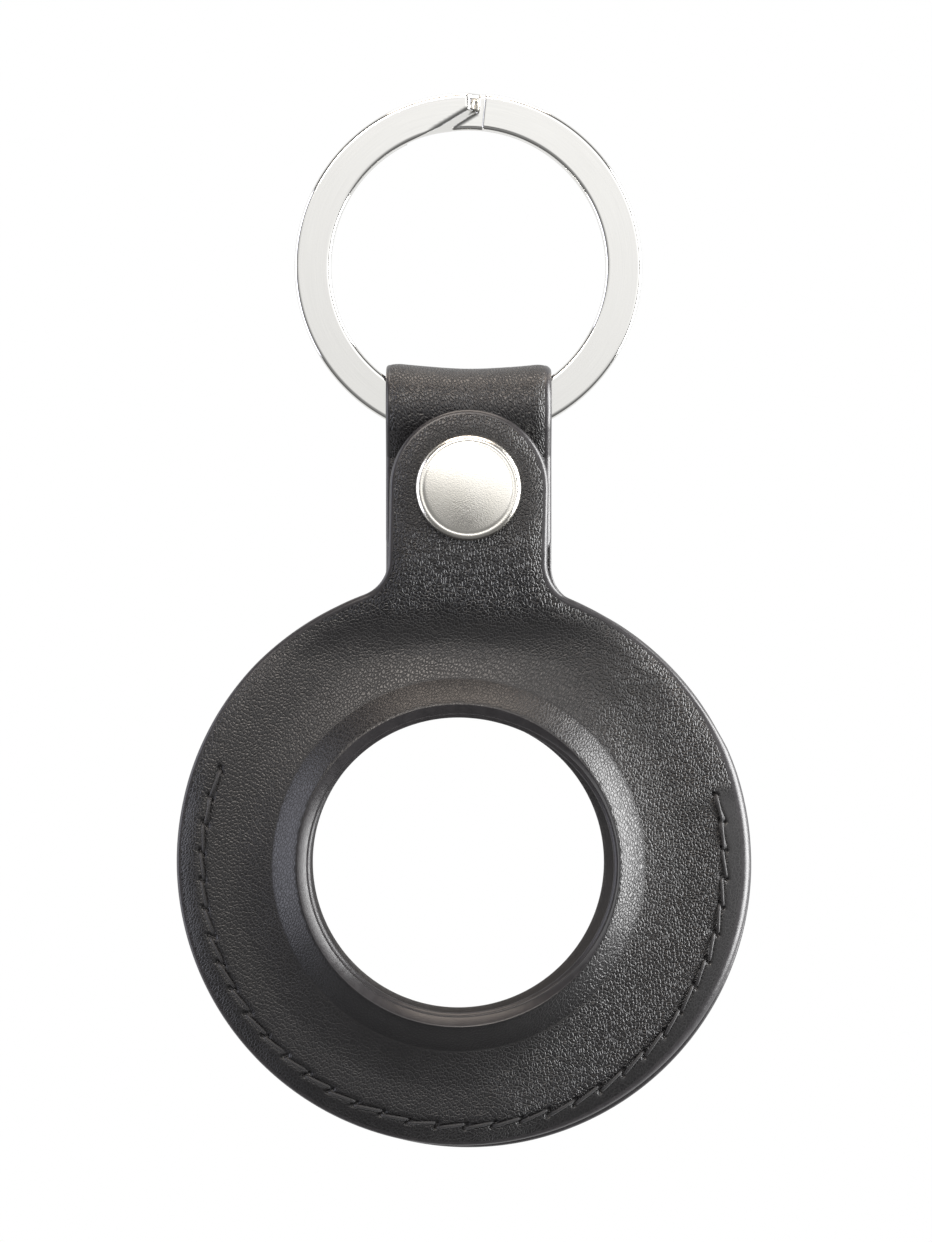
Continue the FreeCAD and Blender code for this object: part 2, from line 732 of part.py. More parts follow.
def make_stitches(label, side):
    """A row of slanted stitches in front (side -1) or behind (side 1), each with its leg in a hole."""
    radius = size("thread_d") / 2
    seam_r = value(stitch_r)
    depth = side * (value(panel) + radius + size("stitch_lift"))
    step = value(stitch_sweep) / size("stitch_count")
    chord = 2 * seam_r * math.sin(math.radians(step / 2))
    short = 2 * radius + size("needle_room")
    slant = size("stitch_slant")
    start = FreeCAD.Vector(-chord / 2, depth, seam_r - slant)
    end = FreeCAD.Vector(chord / 2 - short, depth, seam_r + slant)
    run = end.sub(start)
    leg_end = FreeCAD.Vector(-chord / 2, side * size("stitch_lift"), seam_r)
    leg_start = FreeCAD.Vector(-chord / 2, depth, seam_r)
    bar = Part.makeCylinder(radius, run.Length, start, run)
    leg = Part.makeCylinder(radius, abs(depth - leg_end.y), leg_start, leg_end.sub(leg_start))
    tips = [Part.makeSphere(radius, point) for point in (start, end)]
    stitch = bar.fuse([leg, *tips]).removeSplitter().Solids[0]
    stitches = []
    for index in range(int(size("stitch_count"))):
        copy = stitch.copy()
        turn = 90 - size("stitch_right") + step * (index + 0.5)
        copy.rotate(FreeCAD.Vector(), FreeCAD.Vector(0, 1, 0), turn)
        stitches.append(copy)
    thread = doc.addObject("Part::Feature", label)
    thread.Label = label
    thread.Shape = Part.makeCompound(stitches)
    thread.Placement = FreeCAD.Placement(
        FreeCAD.Vector(0, -value(loop_y), -value(ring_z)), FreeCAD.Rotation()
    )
    return thread


pieces = [
    make_split_ring(),
    make_back_panel(),
    make_back_lining(),
    make_lower_front("front_panel", leather_corners("-")),
    make_lower_front("front_lining", lining_corners("-")),
    make_front_flap(),
    make_flap_lining(),
    make_snap_cap(),
    make_snap_socket(),
    make_snap_spring(),
    make_snap_stud(),
    make_snap_eyelet(),
    make_stitches("front_stitches", -1),
    make_stitches("back_stitches", 1),
]
doc.recompute()

faults = [f"{item.Label}: {item.State}" for item in doc.Objects if {"Invalid", "Error"} & set(item.State)]
for piece in pieces:
    if piece.Shape.isNull() or not piece.Shape.isValid():
        faults.append(f"{piece.Label}: shape is not valid")
if faults:
    raise RuntimeError("; ".join(faults))

os.makedirs("parts", exist_ok=True)
for piece in pieces:
    piece.Shape.exportStep(f"parts/{piece.Label}.step")
    box = piece.Shape.optimalBoundingBox()
    print(
        f"{piece.Label}: {len(piece.Shape.Solids)} solids, {piece.Shape.Volume:.1f} mm3, "
        f"x {box.XMin:.2f} to {box.XMax:.2f}, y {box.YMin:.2f} to {box.YMax:.2f}, "
        f"z {box.ZMin:.2f} to {box.ZMax:.2f}"
    )
print(f"seat centre at y {-value(loop_y):.3f}, z {-value(ring_z):.3f}; bend line at z {value(bend_z):.3f}")
print(f"loop centre z {value(loop_z):.3f}, crease radius {value(crease_r):.3f}")
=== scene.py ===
# %% [markdown]
# # A leather holder for a coin-shaped tag
#
# The holder is two discs of black leather, each moulded over a form so that a ring-shaped seat stands up
# round a window. The lower half is stitched, the upper half of the front opens as a flap, and a snap closes
# it on a strap that loops over a split key ring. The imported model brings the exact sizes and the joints.
# It is loaded first, and every piece made here is set against it.

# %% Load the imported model
import bpy
import bmesh
import json
import math
import numpy as np
from mathutils import Matrix, Vector, geometry, kdtree


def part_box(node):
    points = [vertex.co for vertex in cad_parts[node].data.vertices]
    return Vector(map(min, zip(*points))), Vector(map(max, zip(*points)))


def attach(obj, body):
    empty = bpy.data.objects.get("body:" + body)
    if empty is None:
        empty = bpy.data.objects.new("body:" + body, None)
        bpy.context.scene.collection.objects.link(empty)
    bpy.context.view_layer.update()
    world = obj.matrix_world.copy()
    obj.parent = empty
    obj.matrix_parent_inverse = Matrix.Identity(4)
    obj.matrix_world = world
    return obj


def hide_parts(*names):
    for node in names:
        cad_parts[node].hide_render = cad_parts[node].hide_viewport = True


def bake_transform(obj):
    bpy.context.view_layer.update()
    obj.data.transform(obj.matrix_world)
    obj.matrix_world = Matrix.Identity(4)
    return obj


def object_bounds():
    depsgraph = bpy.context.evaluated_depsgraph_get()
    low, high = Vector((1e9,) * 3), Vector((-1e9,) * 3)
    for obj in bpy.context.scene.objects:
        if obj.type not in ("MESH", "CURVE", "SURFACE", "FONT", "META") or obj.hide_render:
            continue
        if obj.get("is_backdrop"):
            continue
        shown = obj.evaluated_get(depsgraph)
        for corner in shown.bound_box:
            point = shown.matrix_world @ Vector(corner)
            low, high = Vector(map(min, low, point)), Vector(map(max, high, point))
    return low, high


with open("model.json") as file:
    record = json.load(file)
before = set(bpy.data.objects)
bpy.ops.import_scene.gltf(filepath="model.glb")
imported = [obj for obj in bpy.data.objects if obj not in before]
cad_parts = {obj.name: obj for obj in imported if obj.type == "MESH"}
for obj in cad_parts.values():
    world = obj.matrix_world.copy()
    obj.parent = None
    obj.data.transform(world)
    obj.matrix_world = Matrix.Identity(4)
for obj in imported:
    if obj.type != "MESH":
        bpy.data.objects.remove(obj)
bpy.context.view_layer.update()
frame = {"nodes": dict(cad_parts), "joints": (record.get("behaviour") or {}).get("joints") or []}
print("nodes", sorted(frame["nodes"]))

# %% [markdown]
# ## Where things are
#
# All shaping below is done in millimetres about the middle of the seat, with x to the right, y to the back
# and z up, because that is how the leather is cut and moulded. The seam between front and back is at y = 0.
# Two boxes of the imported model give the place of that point, so nothing has to be fitted by eye.

# %% The seat's centre in the model's frame
MM = 0.001
DISC_R = 27.0
SEAT = np.array([0.0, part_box("back_lining")[0].y / MM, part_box("back_panel")[0].z / MM + DISC_R])
print("seat centre", SEAT.round(3))


def to_model(points):
    """Panel millimetres to metres in the model's frame."""
    return (np.asarray(points, float) + SEAT) * MM


# %% [markdown]
# ## Camera
#
# The photograph looks straight at the front, level with the neck, through a long lens. The picture is taken
# as 932 by 1242 pixels, and the object's known sizes give about 0.095 mm to a pixel. The lens follows from
# that scale and the distance. The distance shows in the window: from here the camera looks down on its
# lower edge by two or three degrees, and sees a little of the inside there.

# %% Place the camera
FRAME_H = 1242
MM_PER_PIXEL = 0.0948
DISTANCE = 520.0
AIM = Vector((-0.22, -1.7, -33.65)) * MM

scene = bpy.context.scene
camera = bpy.data.objects.new("camera", bpy.data.cameras.new("camera"))
scene.collection.objects.link(camera)
bpy.context.scene.camera = camera
camera.location = AIM - Vector((0, DISTANCE * MM, 0))
camera.rotation_euler = (math.pi / 2, 0, 0)
camera.data.sensor_width = 36.0
camera.data.lens = camera.data.sensor_width * DISTANCE / (FRAME_H * MM_PER_PIXEL)
camera.data.clip_start, camera.data.clip_end = 0.01, 20.0
print("lens", round(camera.data.lens, 1), "mm")

# %% [markdown]
# ## Colours and nodes
#
# Colours are written as the hex values that a colour picker shows, and Blender's shaders want linear light,
# so one function turns the first into the second. A second small function adds any shader node: its settings
# go in by name, and each input takes a value, another node's output, or simply another node, which then
# stands for the first of its outputs that is in use. All finishes of this object end alike, with a tone that
# wanders between two colours, a fine relief and the shader, so a last function adds that end.

# %% Helpers for materials


def colour(text):
    """A hex colour as linear red, green, blue and alpha."""
    parts = [int(text[i:i + 2], 16) / 255 for i in (1, 3, 5)]
    return tuple(c / 12.92 if c <= 0.04045 else ((c + 0.055) / 1.055) ** 2.4 for c in parts) + (1.0,)


def add_node(tree, kind, inputs=(), **settings):
    """Adds one node. An input's value may be another node or its output, which is then linked."""
    made = tree.nodes.new(kind)
    for name, setting in settings.items():
        setattr(made, name, setting)
    for socket, value in dict(inputs).items():
        if isinstance(value, bpy.types.Node):
            value = next(output for output in value.outputs if output.enabled)
        if isinstance(value, bpy.types.NodeSocket):
            tree.links.new(value, made.inputs[socket])
        else:
            made.inputs[socket].default_value = value
    return made


def new_material(name):
    """A material without nodes, and its node tree."""
    material = bpy.data.materials.new(name)
    material.use_nodes = True
    material.node_tree.nodes.clear()
    return material, material.node_tree


def lay_finish(tree, mottle, dark, light, relief, strength, deep, shader):
    """The end of a material: tone between two colours, relief of a depth in millimetres, and the shader."""
    tone = add_node(tree, "ShaderNodeMix", {"Factor": mottle, "A": colour(dark), "B": colour(light)},
                    data_type="RGBA")
    bump = add_node(tree, "ShaderNodeBump", {"Strength": strength, "Distance": deep * MM, "Height": relief})
    surface = add_node(tree, "ShaderNodeBsdfPrincipled", {"Base Color": tone, "Normal": bump, **shader})
    add_node(tree, "ShaderNodeOutputMaterial", {"Surface": surface})
    print("finish of", len(tree.nodes), "nodes from", dark, "to", light)


print("middle grey in linear light", round(colour("#808080")[0], 3))

# %% [markdown]
# ## Studio
#
# The photograph has a pure white background and soft light, strongest from the right. Black leather and
# bright metal show little but reflections, so the world has to hold what the real studio held: a bright
# screen round the camera, brighter above and to the right, a dim room at the sides, and white paper behind.
# A dark spot stands for the camera itself. A pale floor lies well below, out of the picture, and takes the
# shadow in other views. Soft boxes at the right, at the left and above do the rest, with a weak one over the
# camera that lifts the tab.

# %% World
TO_BRIGHT, TO_CAMERA = (0.35, 0.0, 0.8), (0.0, -0.983, -0.18)
SCREEN_LOW, SCREEN_HIGH, ROOM_LIGHT = 0.32, 1.67, 0.18

scene.view_settings.view_transform = "Standard"
scene.world = bpy.data.worlds.new("studio")
scene.world.use_nodes = True
tree = scene.world.node_tree
tree.nodes.clear()
way = add_node(tree, "ShaderNodeTexCoord").outputs["Generated"]
to_back = add_node(tree, "ShaderNodeSeparateXYZ", {0: way}).outputs["Y"]
upward = add_node(tree, "ShaderNodeVectorMath", {0: way, 1: TO_BRIGHT}, operation="DOT_PRODUCT")
off_camera = add_node(tree, "ShaderNodeVectorMath", {0: way, 1: TO_CAMERA}, operation="DISTANCE")
screen, beside_camera, beside_screen, paper = (
    add_node(tree, "ShaderNodeMapRange", {"Value": value, "From Min": start, "From Max": end,
             "To Min": low, "To Max": high}, interpolation_type=kind)
    for value, start, end, low, high, kind in (
        (upward, -0.28, 0.30, SCREEN_LOW, SCREEN_HIGH, "SMOOTHSTEP"),
        (off_camera, 0.05, 0.12, 0.0, 1.0, "SMOOTHSTEP"),
        (to_back, -0.80, -0.62, 0.0, 1.0, "SMOOTHSTEP"),
        (to_back, 0.0, 0.12, 0.0, 1.0, "LINEAR"),
    )
)
screen = add_node(tree, "ShaderNodeMath", {0: screen, 1: beside_camera}, operation="MULTIPLY")
light = add_node(tree, "ShaderNodeMix", {"Factor": beside_screen, "A": screen, "B": ROOM_LIGHT})
seen = add_node(tree, "ShaderNodeLightPath").outputs["Is Camera Ray"]
for white in (paper, seen):
    light = add_node(tree, "ShaderNodeMath", {0: light, 1: white}, operation="MAXIMUM")
background = add_node(tree, "ShaderNodeBackground", {"Color": (1, 1, 1, 1), "Strength": light})
add_node(tree, "ShaderNodeOutputWorld", {"Surface": background})
print("world", len(tree.nodes), "nodes")

# %% Floor of pale paper, dull and thinning out to nothing far from the object
FLOOR_Z, FLOOR_HALF = -0.40, 1.0
THIN_FROM, THIN_TO = 0.30, 0.95
PAPER_CLOUDS = 60.0  # across the floor

studio_paper, tree = new_material("pale_studio_paper")
cloud = add_node(tree, "ShaderNodeTexNoise", {"Scale": PAPER_CLOUDS, "Detail": 3.0})
tone = add_node(tree, "ShaderNodeMix", {"Factor": cloud, "A": colour("#ececec"), "B": colour("#f4f4f4")},
                data_type="RGBA")
place = add_node(tree, "ShaderNodeTexCoord").outputs["Object"]
away = add_node(tree, "ShaderNodeVectorMath", {0: place, 1: (0.0, 0.0, FLOOR_Z)}, operation="DISTANCE")
cover = add_node(tree, "ShaderNodeMapRange", {"Value": away, "From Min": THIN_FROM, "From Max": THIN_TO,
                 "To Min": 1.0, "To Max": 0.0}, interpolation_type="SMOOTHSTEP")
surface = add_node(tree, "ShaderNodeBsdfPrincipled", {"Base Color": tone, "Roughness": 0.9, "Alpha": cover})
add_node(tree, "ShaderNodeOutputMaterial", {"Surface": surface})

mesh = bpy.data.meshes.new("floor")
corners = ((-1, -1), (1, -1), (1, 1), (-1, 1))
mesh.from_pydata([(x * FLOOR_HALF, y * FLOOR_HALF, FLOOR_Z) for x, y in corners], [], [(0, 1, 2, 3)])
mesh.materials.append(studio_paper)
floor = bpy.data.objects.new("floor", mesh)
scene.collection.objects.link(floor)
floor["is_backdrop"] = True
floor.visible_glossy = False
print("floor at z", FLOOR_Z, "m")

# %% Lamps: name, place, width, height, watts and tint. Each faces the middle of the object
for name, place, width, height, watts, tint in (
    ("right_box", (0.65, -0.01, 0.05), 0.32, 0.80, 17.0, "#ffffff"),
    ("left_box", (-0.65, -0.06, 0.0), 0.40, 0.70, 2.8, "#eef0ff"),
    ("top_box", (0.0, 0.0, 0.75), 0.7, 0.45, 7.0, "#fff0e2"),
    ("front_box", (-0.05, -0.24, 0.11), 0.16, 0.06, 0.42, "#fff4ea"),
):
    light = bpy.data.lights.new(name, "AREA")
    light.shape = "RECTANGLE"
    light.size, light.size_y = width, height
    light.energy = watts
    light.color = colour(tint)[:3]
    lamp = bpy.data.objects.new(name, light)
    scene.collection.objects.link(lamp)
    facing = (AIM - Vector(place)).to_track_quat("-Z", "Y").to_matrix().to_4x4()
    lamp.matrix_world = Matrix.Translation(place) @ facing
    lamp.visible_camera = False
    print(name, watts, "W")

# %% [markdown]
# ## The moulded seat
#
# Wet leather is pressed over a form, so a flat disc gets a raised cone round the window. The cone ends in the
# cut edge, which therefore looks forward and inward, and at its foot a sharp crease leads to the flange. The
# section is easiest to write as an angle that changes along the leather. Adding up small steps at that angle
# gives the curve, and it also gives the flat pattern, because the leather hardly stretches along the section.
# On this holder the cone sits about a millimetre left of the strap's middle.

# %% Helpers for curves


def walk(marks, turns, steps):
    """A line whose direction changes evenly from mark to mark: lengths, directions, runs and rises."""
    lengths = np.linspace(0.0, marks[-1], steps)
    directions = np.interp(lengths, marks, turns)
    middle = (directions[:-1] + directions[1:]) / 2
    runs = np.concatenate([[0], np.cumsum(np.cos(middle) * lengths[1])])
    rises = np.concatenate([[0], np.cumsum(np.sin(middle) * lengths[1])])
    return lengths, directions, runs, rises


def fade(value, start, end):
    """0 at start and before it, 1 at end and after it, and even between them."""
    return np.clip((value - start) / (end - start), 0, 1)


# %% Section of the seat, from inside the window out
LEATHER, LINING = 1.1, 0.5
SEAT_OFF = np.array([-0.95, 0.10])
WINDOW_R = 14.5
SEAT_RISE, RIM_TILT, SLOPE = 2.2, math.radians(35), math.radians(40)
BROW_RUN, CREASE_BEND = 0.9, 1.4
SPARE, SEAT_STEPS = 1.5, 1200

brow_fall = BROW_RUN * (math.cos(RIM_TILT) - math.cos(SLOPE)) / (SLOPE - RIM_TILT)
slope_run = (SEAT_RISE - brow_fall - CREASE_BEND * (1 - math.cos(SLOPE))) / math.sin(SLOPE)
marks = np.cumsum([0.0, SPARE, BROW_RUN, slope_run, CREASE_BEND * SLOPE])
along, tilt, seat_r, rise = walk(marks, [RIM_TILT, RIM_TILT, SLOPE, SLOPE, 0], SEAT_STEPS)
seat_r += WINDOW_R - SPARE * math.cos(RIM_TILT)
seat_h = rise[-1] - rise
crease_r = seat_r[-1]
flat_r = along + crease_r - marks[-1]
window_flat = flat_r[0] + SPARE
print("crease at", round(crease_r, 2), "mm; flat window radius", round(window_flat, 2), "mm")

# %% The moulded disc
FLANGE_RISE, FLANGE_END = 0.55, 21.4
CONE_RISE = 0.6


def flange_height(rho):
    """The flange is a low cone, a little steeper next to the crease, in millimetres."""
    return FLANGE_RISE * fade(rho, FLANGE_END, crease_r) ** 1.5 + CONE_RISE * fade(rho, DISC_R, crease_r)


def mould_disc(u, v, depth, side):
    """Flat pattern to moulded disc. depth is measured outward from between leather and lining."""
    u, v = u - SEAT_OFF[0], v - SEAT_OFF[1]
    rho = np.hypot(u, v) + 1e-9
    radius = np.where(rho > crease_r, rho, np.interp(rho, flat_r, seat_r))
    height = np.interp(rho, flat_r, seat_h, right=0.0) + flange_height(rho)
    slant = np.interp(rho, flat_r, tilt, right=0.0)
    reach = radius + depth * np.sin(slant)
    out = LINING + height + depth * np.cos(slant)
    return np.stack([reach * u / rho + SEAT_OFF[0], side * out, reach * v / rho + SEAT_OFF[1]], 1)


print("flange stands", round(float(flange_height(crease_r)), 2), "mm high at the crease")

# %% [markdown]
# ## Cutting leather
#
# A leather piece starts as a flat pattern: an outline and a window. It could be modelled as a grid of quads,
# but the round disc and the straight tab do not share one grid. So the pattern is filled with evenly spaced
# points and joined by Blender's constrained triangulation, which keeps the cut edges exact. The pattern then
# gets a front, a back and a domed edge, and each point is moved to its moulded place. The flat coordinates
# are kept as a UV map, so that the grain lies in the leather and moves with it.

# %% Outlines and grids
PITCH, FINER = ((0.3, 2.2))


def even_loop(points):
    """A closed outline resampled at an even pitch."""
    points = np.asarray(points, float)
    ring = np.vstack([points, points[:1]])
    length = np.concatenate([[0], np.cumsum(np.hypot(*np.diff(ring, axis=0).T))])
    places = np.linspace(0, length[-1], int(length[-1] / PITCH), endpoint=False)
    return np.stack([np.interp(places, length, ring[:, 0]), np.interp(places, length, ring[:, 1])], 1)


def outward(loop):
    """Unit vectors that point out of the leather, for a loop that keeps the leather on its left."""
    run = np.roll(loop, -1, 0) - np.roll(loop, 1, 0)
    return np.stack([run[:, 1], -run[:, 0]], 1) / np.hypot(*run.T)[:, None]


def arc(centre, radius, start, end, count):
    """Points on an arc between two angles in degrees."""
    angles = np.radians(np.linspace(start, end, count))
    return [(centre[0] + radius * math.cos(a), centre[1] + radius * math.sin(a)) for a in angles]


def grid(low, high, pitch):
    """Points of an even triangular grid."""
    rows = np.arange(low[1], high[1], pitch * math.sqrt(0.75))
    x, y = np.meshgrid(np.arange(low[0], high[0], pitch), rows)
    x[1::2] += pitch / 2
    return np.stack([x.ravel(), y.ravel()], 1)


print("pattern points", PITCH, "mm apart, by the seam", round(PITCH / FINER, 2), "mm")

# %% Fill a flat pattern with triangles
EDGE_CLEAR = 0.6


def cut_sheet(loops, fine=None):
    """Even triangles between an outline and a window: flat points, their distance from an edge, triangles.

    fine(points) says where the points have to lie closer together.
    """
    edge = np.concatenate(loops)
    normal = np.concatenate([outward(loop) for loop in loops])
    finder = kdtree.KDTree(len(edge))
    for index, (x, y) in enumerate(edge):
        finder.insert((x, y, 0), index)
    finder.balance()
    low, high = edge.min(0), edge.max(0)
    places = grid(low, high, PITCH)
    if fine:
        close = grid(low, high, PITCH / FINER)
        places = np.concatenate([places[~fine(places)], close[fine(close)]])
    inner, gaps = [], [0.0] * len(edge)
    for place in places:
        near, index, gap = finder.find((*place, 0))
        inside = (place - near[:2]) @ normal[index] < 0
        if inside and gap > EDGE_CLEAR * PITCH:
            inner.append(place)
            gaps.append(gap)
    flat = np.concatenate([edge, np.array(inner)])
    links, first = [], 0
    for loop in loops:
        links += [(first + i, first + (i + 1) % len(loop)) for i in range(len(loop))]
        first += len(loop)
    found = geometry.delaunay_2d_cdt([Vector(p) for p in flat], links, [], 1, 1e-7)[2]
    window = range(len(loops[0]), len(edge))
    return flat, np.array(gaps), [t for t in found if not all(i in window for i in t)]


# %% A piece from points and faces
PATTERN_MM = 100


def add_piece(name, points, faces, materials, uvs=None, weld=0.0):
    """A smooth mesh from points in metres, with all faces turned outward. uvs has one row for each point."""
    mesh = bpy.data.meshes.new(name)
    mesh.from_pydata(points, [], faces)
    if uvs is not None:
        corner = np.zeros(len(mesh.loops), int)
        mesh.loops.foreach_get("vertex_index", corner)
        mesh.uv_layers.new(name="pattern").data.foreach_set("uv", uvs[corner].ravel())
    shaped = bmesh.new()
    shaped.from_mesh(mesh)
    if weld:
        bmesh.ops.remove_doubles(shaped, verts=shaped.verts, dist=weld)
    bmesh.ops.recalc_face_normals(shaped, faces=shaped.faces)
    shaped.to_mesh(mesh)
    shaped.free()
    mesh.polygons.foreach_set("use_smooth", [True] * len(mesh.polygons))
    for material in materials:
        mesh.materials.append(material)
    made = bpy.data.objects.new(name, mesh)
    scene.collection.objects.link(made)
    print(name, len(mesh.vertices), "points,", len(mesh.polygons), "faces")
    return made


# %% Sheets with thickness and domed edges
EDGE_STEPS = 9
CRISP_FROM = 6.0


def leather_piece(name, outline, window, place, low, high, domes, skew, materials, fine=None):
    """A sheet between two depths. place(u, v, depth, gap) moves flat points to panel millimetres.

    domes says how far the cut edges of outline and window bulge, and skew how much further the window's
    edge reaches on the inside of the sheet than on its face. Right of CRISP_FROM the outline stays crisp.
    """
    loops = [even_loop(outline), even_loop(window)]
    loops = [loop - dome * outward(loop) for loop, dome in zip(loops, domes)]
    sizes = [len(loop) for loop in loops]
    flat, gap, triangles = cut_sheet(loops, fine)
    count, edge_count = len(flat), sum(sizes)
    edge, normal = flat[:edge_count], np.concatenate([outward(loop) for loop in loops])
    bulge = np.repeat(domes, sizes)[:, None] * normal
    undercut = np.repeat((0.0, skew), sizes)[:, None] * normal
    inside = np.concatenate([edge + undercut, flat[edge_count:]])
    rows = [(flat, np.full(count, high), gap), (inside, np.full(count, low), gap)]
    for angle in np.radians(np.linspace(90, -90, EDGE_STEPS + 2))[1:-1]:
        share = (1 + math.sin(angle)) / 2
        ring = edge + bulge * math.cos(angle) + undercut * (1 - share)
        rows.append((ring, np.full(edge_count, low + (high - low) * share), np.zeros(edge_count)))
    pattern, depths, gaps = (np.concatenate(part) for part in zip(*rows))
    faces = [tuple(t) for t in triangles] + [tuple(i + count for i in t[::-1]) for t in triangles]
    starts = [0] + [2 * count + step * edge_count for step in range(EDGE_STEPS)] + [count]
    bands, first = [], 0
    for size in sizes:
        for upper, lower in zip(starts, starts[1:]):
            for i in range(size):
                here, there = first + i, first + (i + 1) % size
                bands.append((upper + here, lower + here, lower + there, upper + there))
        first += size
    points = to_model(place(pattern[:, 0], pattern[:, 1], depths, gaps))
    made = add_piece(name, points, faces + bands, materials, (pattern - SEAT_OFF) / PATTERN_MM)
    mesh = made.data
    mesh.polygons.foreach_set("material_index", [0] * len(faces) + [1] * len(bands))
    ends = np.zeros(2 * len(mesh.edges), int)
    mesh.edges.foreach_get("vertices", ends)
    ends = ends.reshape(-1, 2)
    neighbours = np.isin(np.abs(ends[:, 0] - ends[:, 1]), (1, sizes[0] - 1))
    on_border = (ends < sizes[0]).all(1) & neighbours & (pattern[ends[:, 0], 0] > CRISP_FROM)
    mesh.edges.foreach_set("use_edge_sharp", on_border)
    return made


# %% [markdown]
# ## Black grain leather
#
# Cow leather with a black pigment finish, pressed with a plate that leaves a fine pebble grain. The eye gets
# a near-black ground and a broken, satin gleam on top of each pebble. The pebbles are about a third of a
# millimetre across. Where the leather was stretched over the seat they flatten out. A Voronoi texture gives
# cells with grooves between them, noise bends the cells, and the flat pattern's radius tells where the seat
# is. The plate also pressed unevenly, so a table says where the grain is deep and where it is shallow.

# %% Grain of the leather
PEBBLE = 0.36
BENDS, PORES, CLOUDS = 1.1, 6.0, 0.22  # to a millimetre
WARP, GRAIN_TURN, GRAIN_DRAW = (0.5, 0.5, 0.0), 0.5, (1.35, 0.9, 1.0)


def pattern_place(tree):
    """A point's place in the flat pattern, in millimetres from the middle of the seat."""
    uv = add_node(tree, "ShaderNodeUVMap", uv_map="pattern")
    return add_node(tree, "ShaderNodeVectorMath", {0: uv, 1: [PATTERN_MM] * 3}, operation="MULTIPLY")


leather, tree = new_material("black_grain_leather")
mm = pattern_place(tree)
warp = add_node(tree, "ShaderNodeTexNoise", {"Vector": mm, "Scale": BENDS, "Detail": 2.0}).outputs["Color"]
shift = add_node(tree, "ShaderNodeVectorMath", {0: warp, 1: (0.5, 0.5, 0.5)}, operation="SUBTRACT")
bent = add_node(tree, "ShaderNodeVectorMath", {0: shift, 1: WARP, 2: mm}, operation="MULTIPLY_ADD")
turned = add_node(tree, "ShaderNodeVectorRotate", {"Vector": bent, "Angle": GRAIN_TURN},
                  rotation_type="Z_AXIS")
drawn = add_node(tree, "ShaderNodeVectorMath", {0: turned, 1: GRAIN_DRAW}, operation="MULTIPLY")
cells = add_node(tree, "ShaderNodeTexVoronoi", {"Vector": drawn, "Scale": 1 / PEBBLE, "Randomness": 0.95},
                 feature="DISTANCE_TO_EDGE", voronoi_dimensions="2D")
pores = add_node(tree, "ShaderNodeTexNoise", {"Vector": mm, "Scale": PORES, "Detail": 3.0, "Roughness": 0.6})
broad = add_node(tree, "ShaderNodeTexNoise", {"Vector": mm, "Scale": CLOUDS, "Detail": 3.0})
print("grain cells per mm", round(1 / PEBBLE, 2))

# %% Depth of the grain: what is measured, two of its values, and the depth at each
SEAM_MIDDLE, PLATE_WAY = (0.5, -0.1, 0.0), (0.9, -0.3, 0.0)

parts = add_node(tree, "ShaderNodeSeparateXYZ", {0: mm})
height = parts.outputs["Y"]
radius = add_node(tree, "ShaderNodeVectorMath", {0: mm}, operation="LENGTH")
from_seam = add_node(tree, "ShaderNodeVectorMath", {0: mm, 1: SEAM_MIDDLE}, operation="DISTANCE")
across = add_node(tree, "ShaderNodeVectorMath", {0: mm, 1: PLATE_WAY}, operation="DOT_PRODUCT")
place = add_node(tree, "ShaderNodeTexCoord").outputs["Object"]
to_back = add_node(tree, "ShaderNodeSeparateXYZ", {0: place}).outputs["Y"]
grain = {
    name: add_node(tree, "ShaderNodeMapRange", {"Value": value, "From Min": start, "From Max": end,
                   "To Min": low, "To Max": high}, interpolation_type=kind)
    for name, value, start, end, low, high, kind in (
        ("pebble", cells, 0.0, 0.28, 0.0, 1.0, "SMOOTHSTEP"),
        ("plate", across, -2.0, 24.0, 0.27, 0.70, "SMOOTHSTEP"),
        ("below neck", height, 20.0, 28.0, 1.0, 0.5, "SMOOTHSTEP"),
        ("neck", height, 19.0, 27.0, 0.0, 0.66, "SMOOTHSTEP"),
        ("below strap", height, 30.0, 33.0, 1.0, 0.65, "SMOOTHSTEP"),
        ("back", to_back, -1.0 * MM, 0.2 * MM, 0.0, 0.48, "LINEAR"),
        ("flange", radius, window_flat + 0.3, crease_r + 2.5, 0.45, 1.0, "SMOOTHSTEP"),
        ("worn", broad, 0.3, 0.7, 0.85, 1.1, "LINEAR"),
        ("outside seam", from_seam, 24.5, 25.2, 0.0, 1.0, "SMOOTHSTEP"),
        ("sewn", height, 9.0, 6.0, 0.0, 0.9, "SMOOTHSTEP"),
        ("right", parts.outputs["X"], 2.0, 14.0, 0.0, 1.0, "SMOOTHSTEP"),
    )
}
neck = add_node(tree, "ShaderNodeMath", {0: grain["neck"], 1: grain["below strap"]}, operation="MULTIPLY")
margin = grain["outside seam"]
for name in ("sewn", "right"):
    margin = add_node(tree, "ShaderNodeMath", {0: margin, 1: grain[name]}, operation="MULTIPLY")
margin = add_node(tree, "ShaderNodeMath", {0: 1.0, 1: margin}, operation="SUBTRACT")
depth = grain["plate"]
for operation, other in (
    ("MULTIPLY", grain["below neck"]), ("MAXIMUM", neck), ("MAXIMUM", grain["back"]),
    ("MULTIPLY", grain["flange"]), ("MULTIPLY", grain["worn"]), ("MULTIPLY", margin),
):
    depth = add_node(tree, "ShaderNodeMath", {0: depth, 1: other}, operation=operation)
print("grain depth from", len(grain), "measures")

# %% Leather surface: near-black, with pebbles glossier than the grooves
PORE_SHARE = 0.55

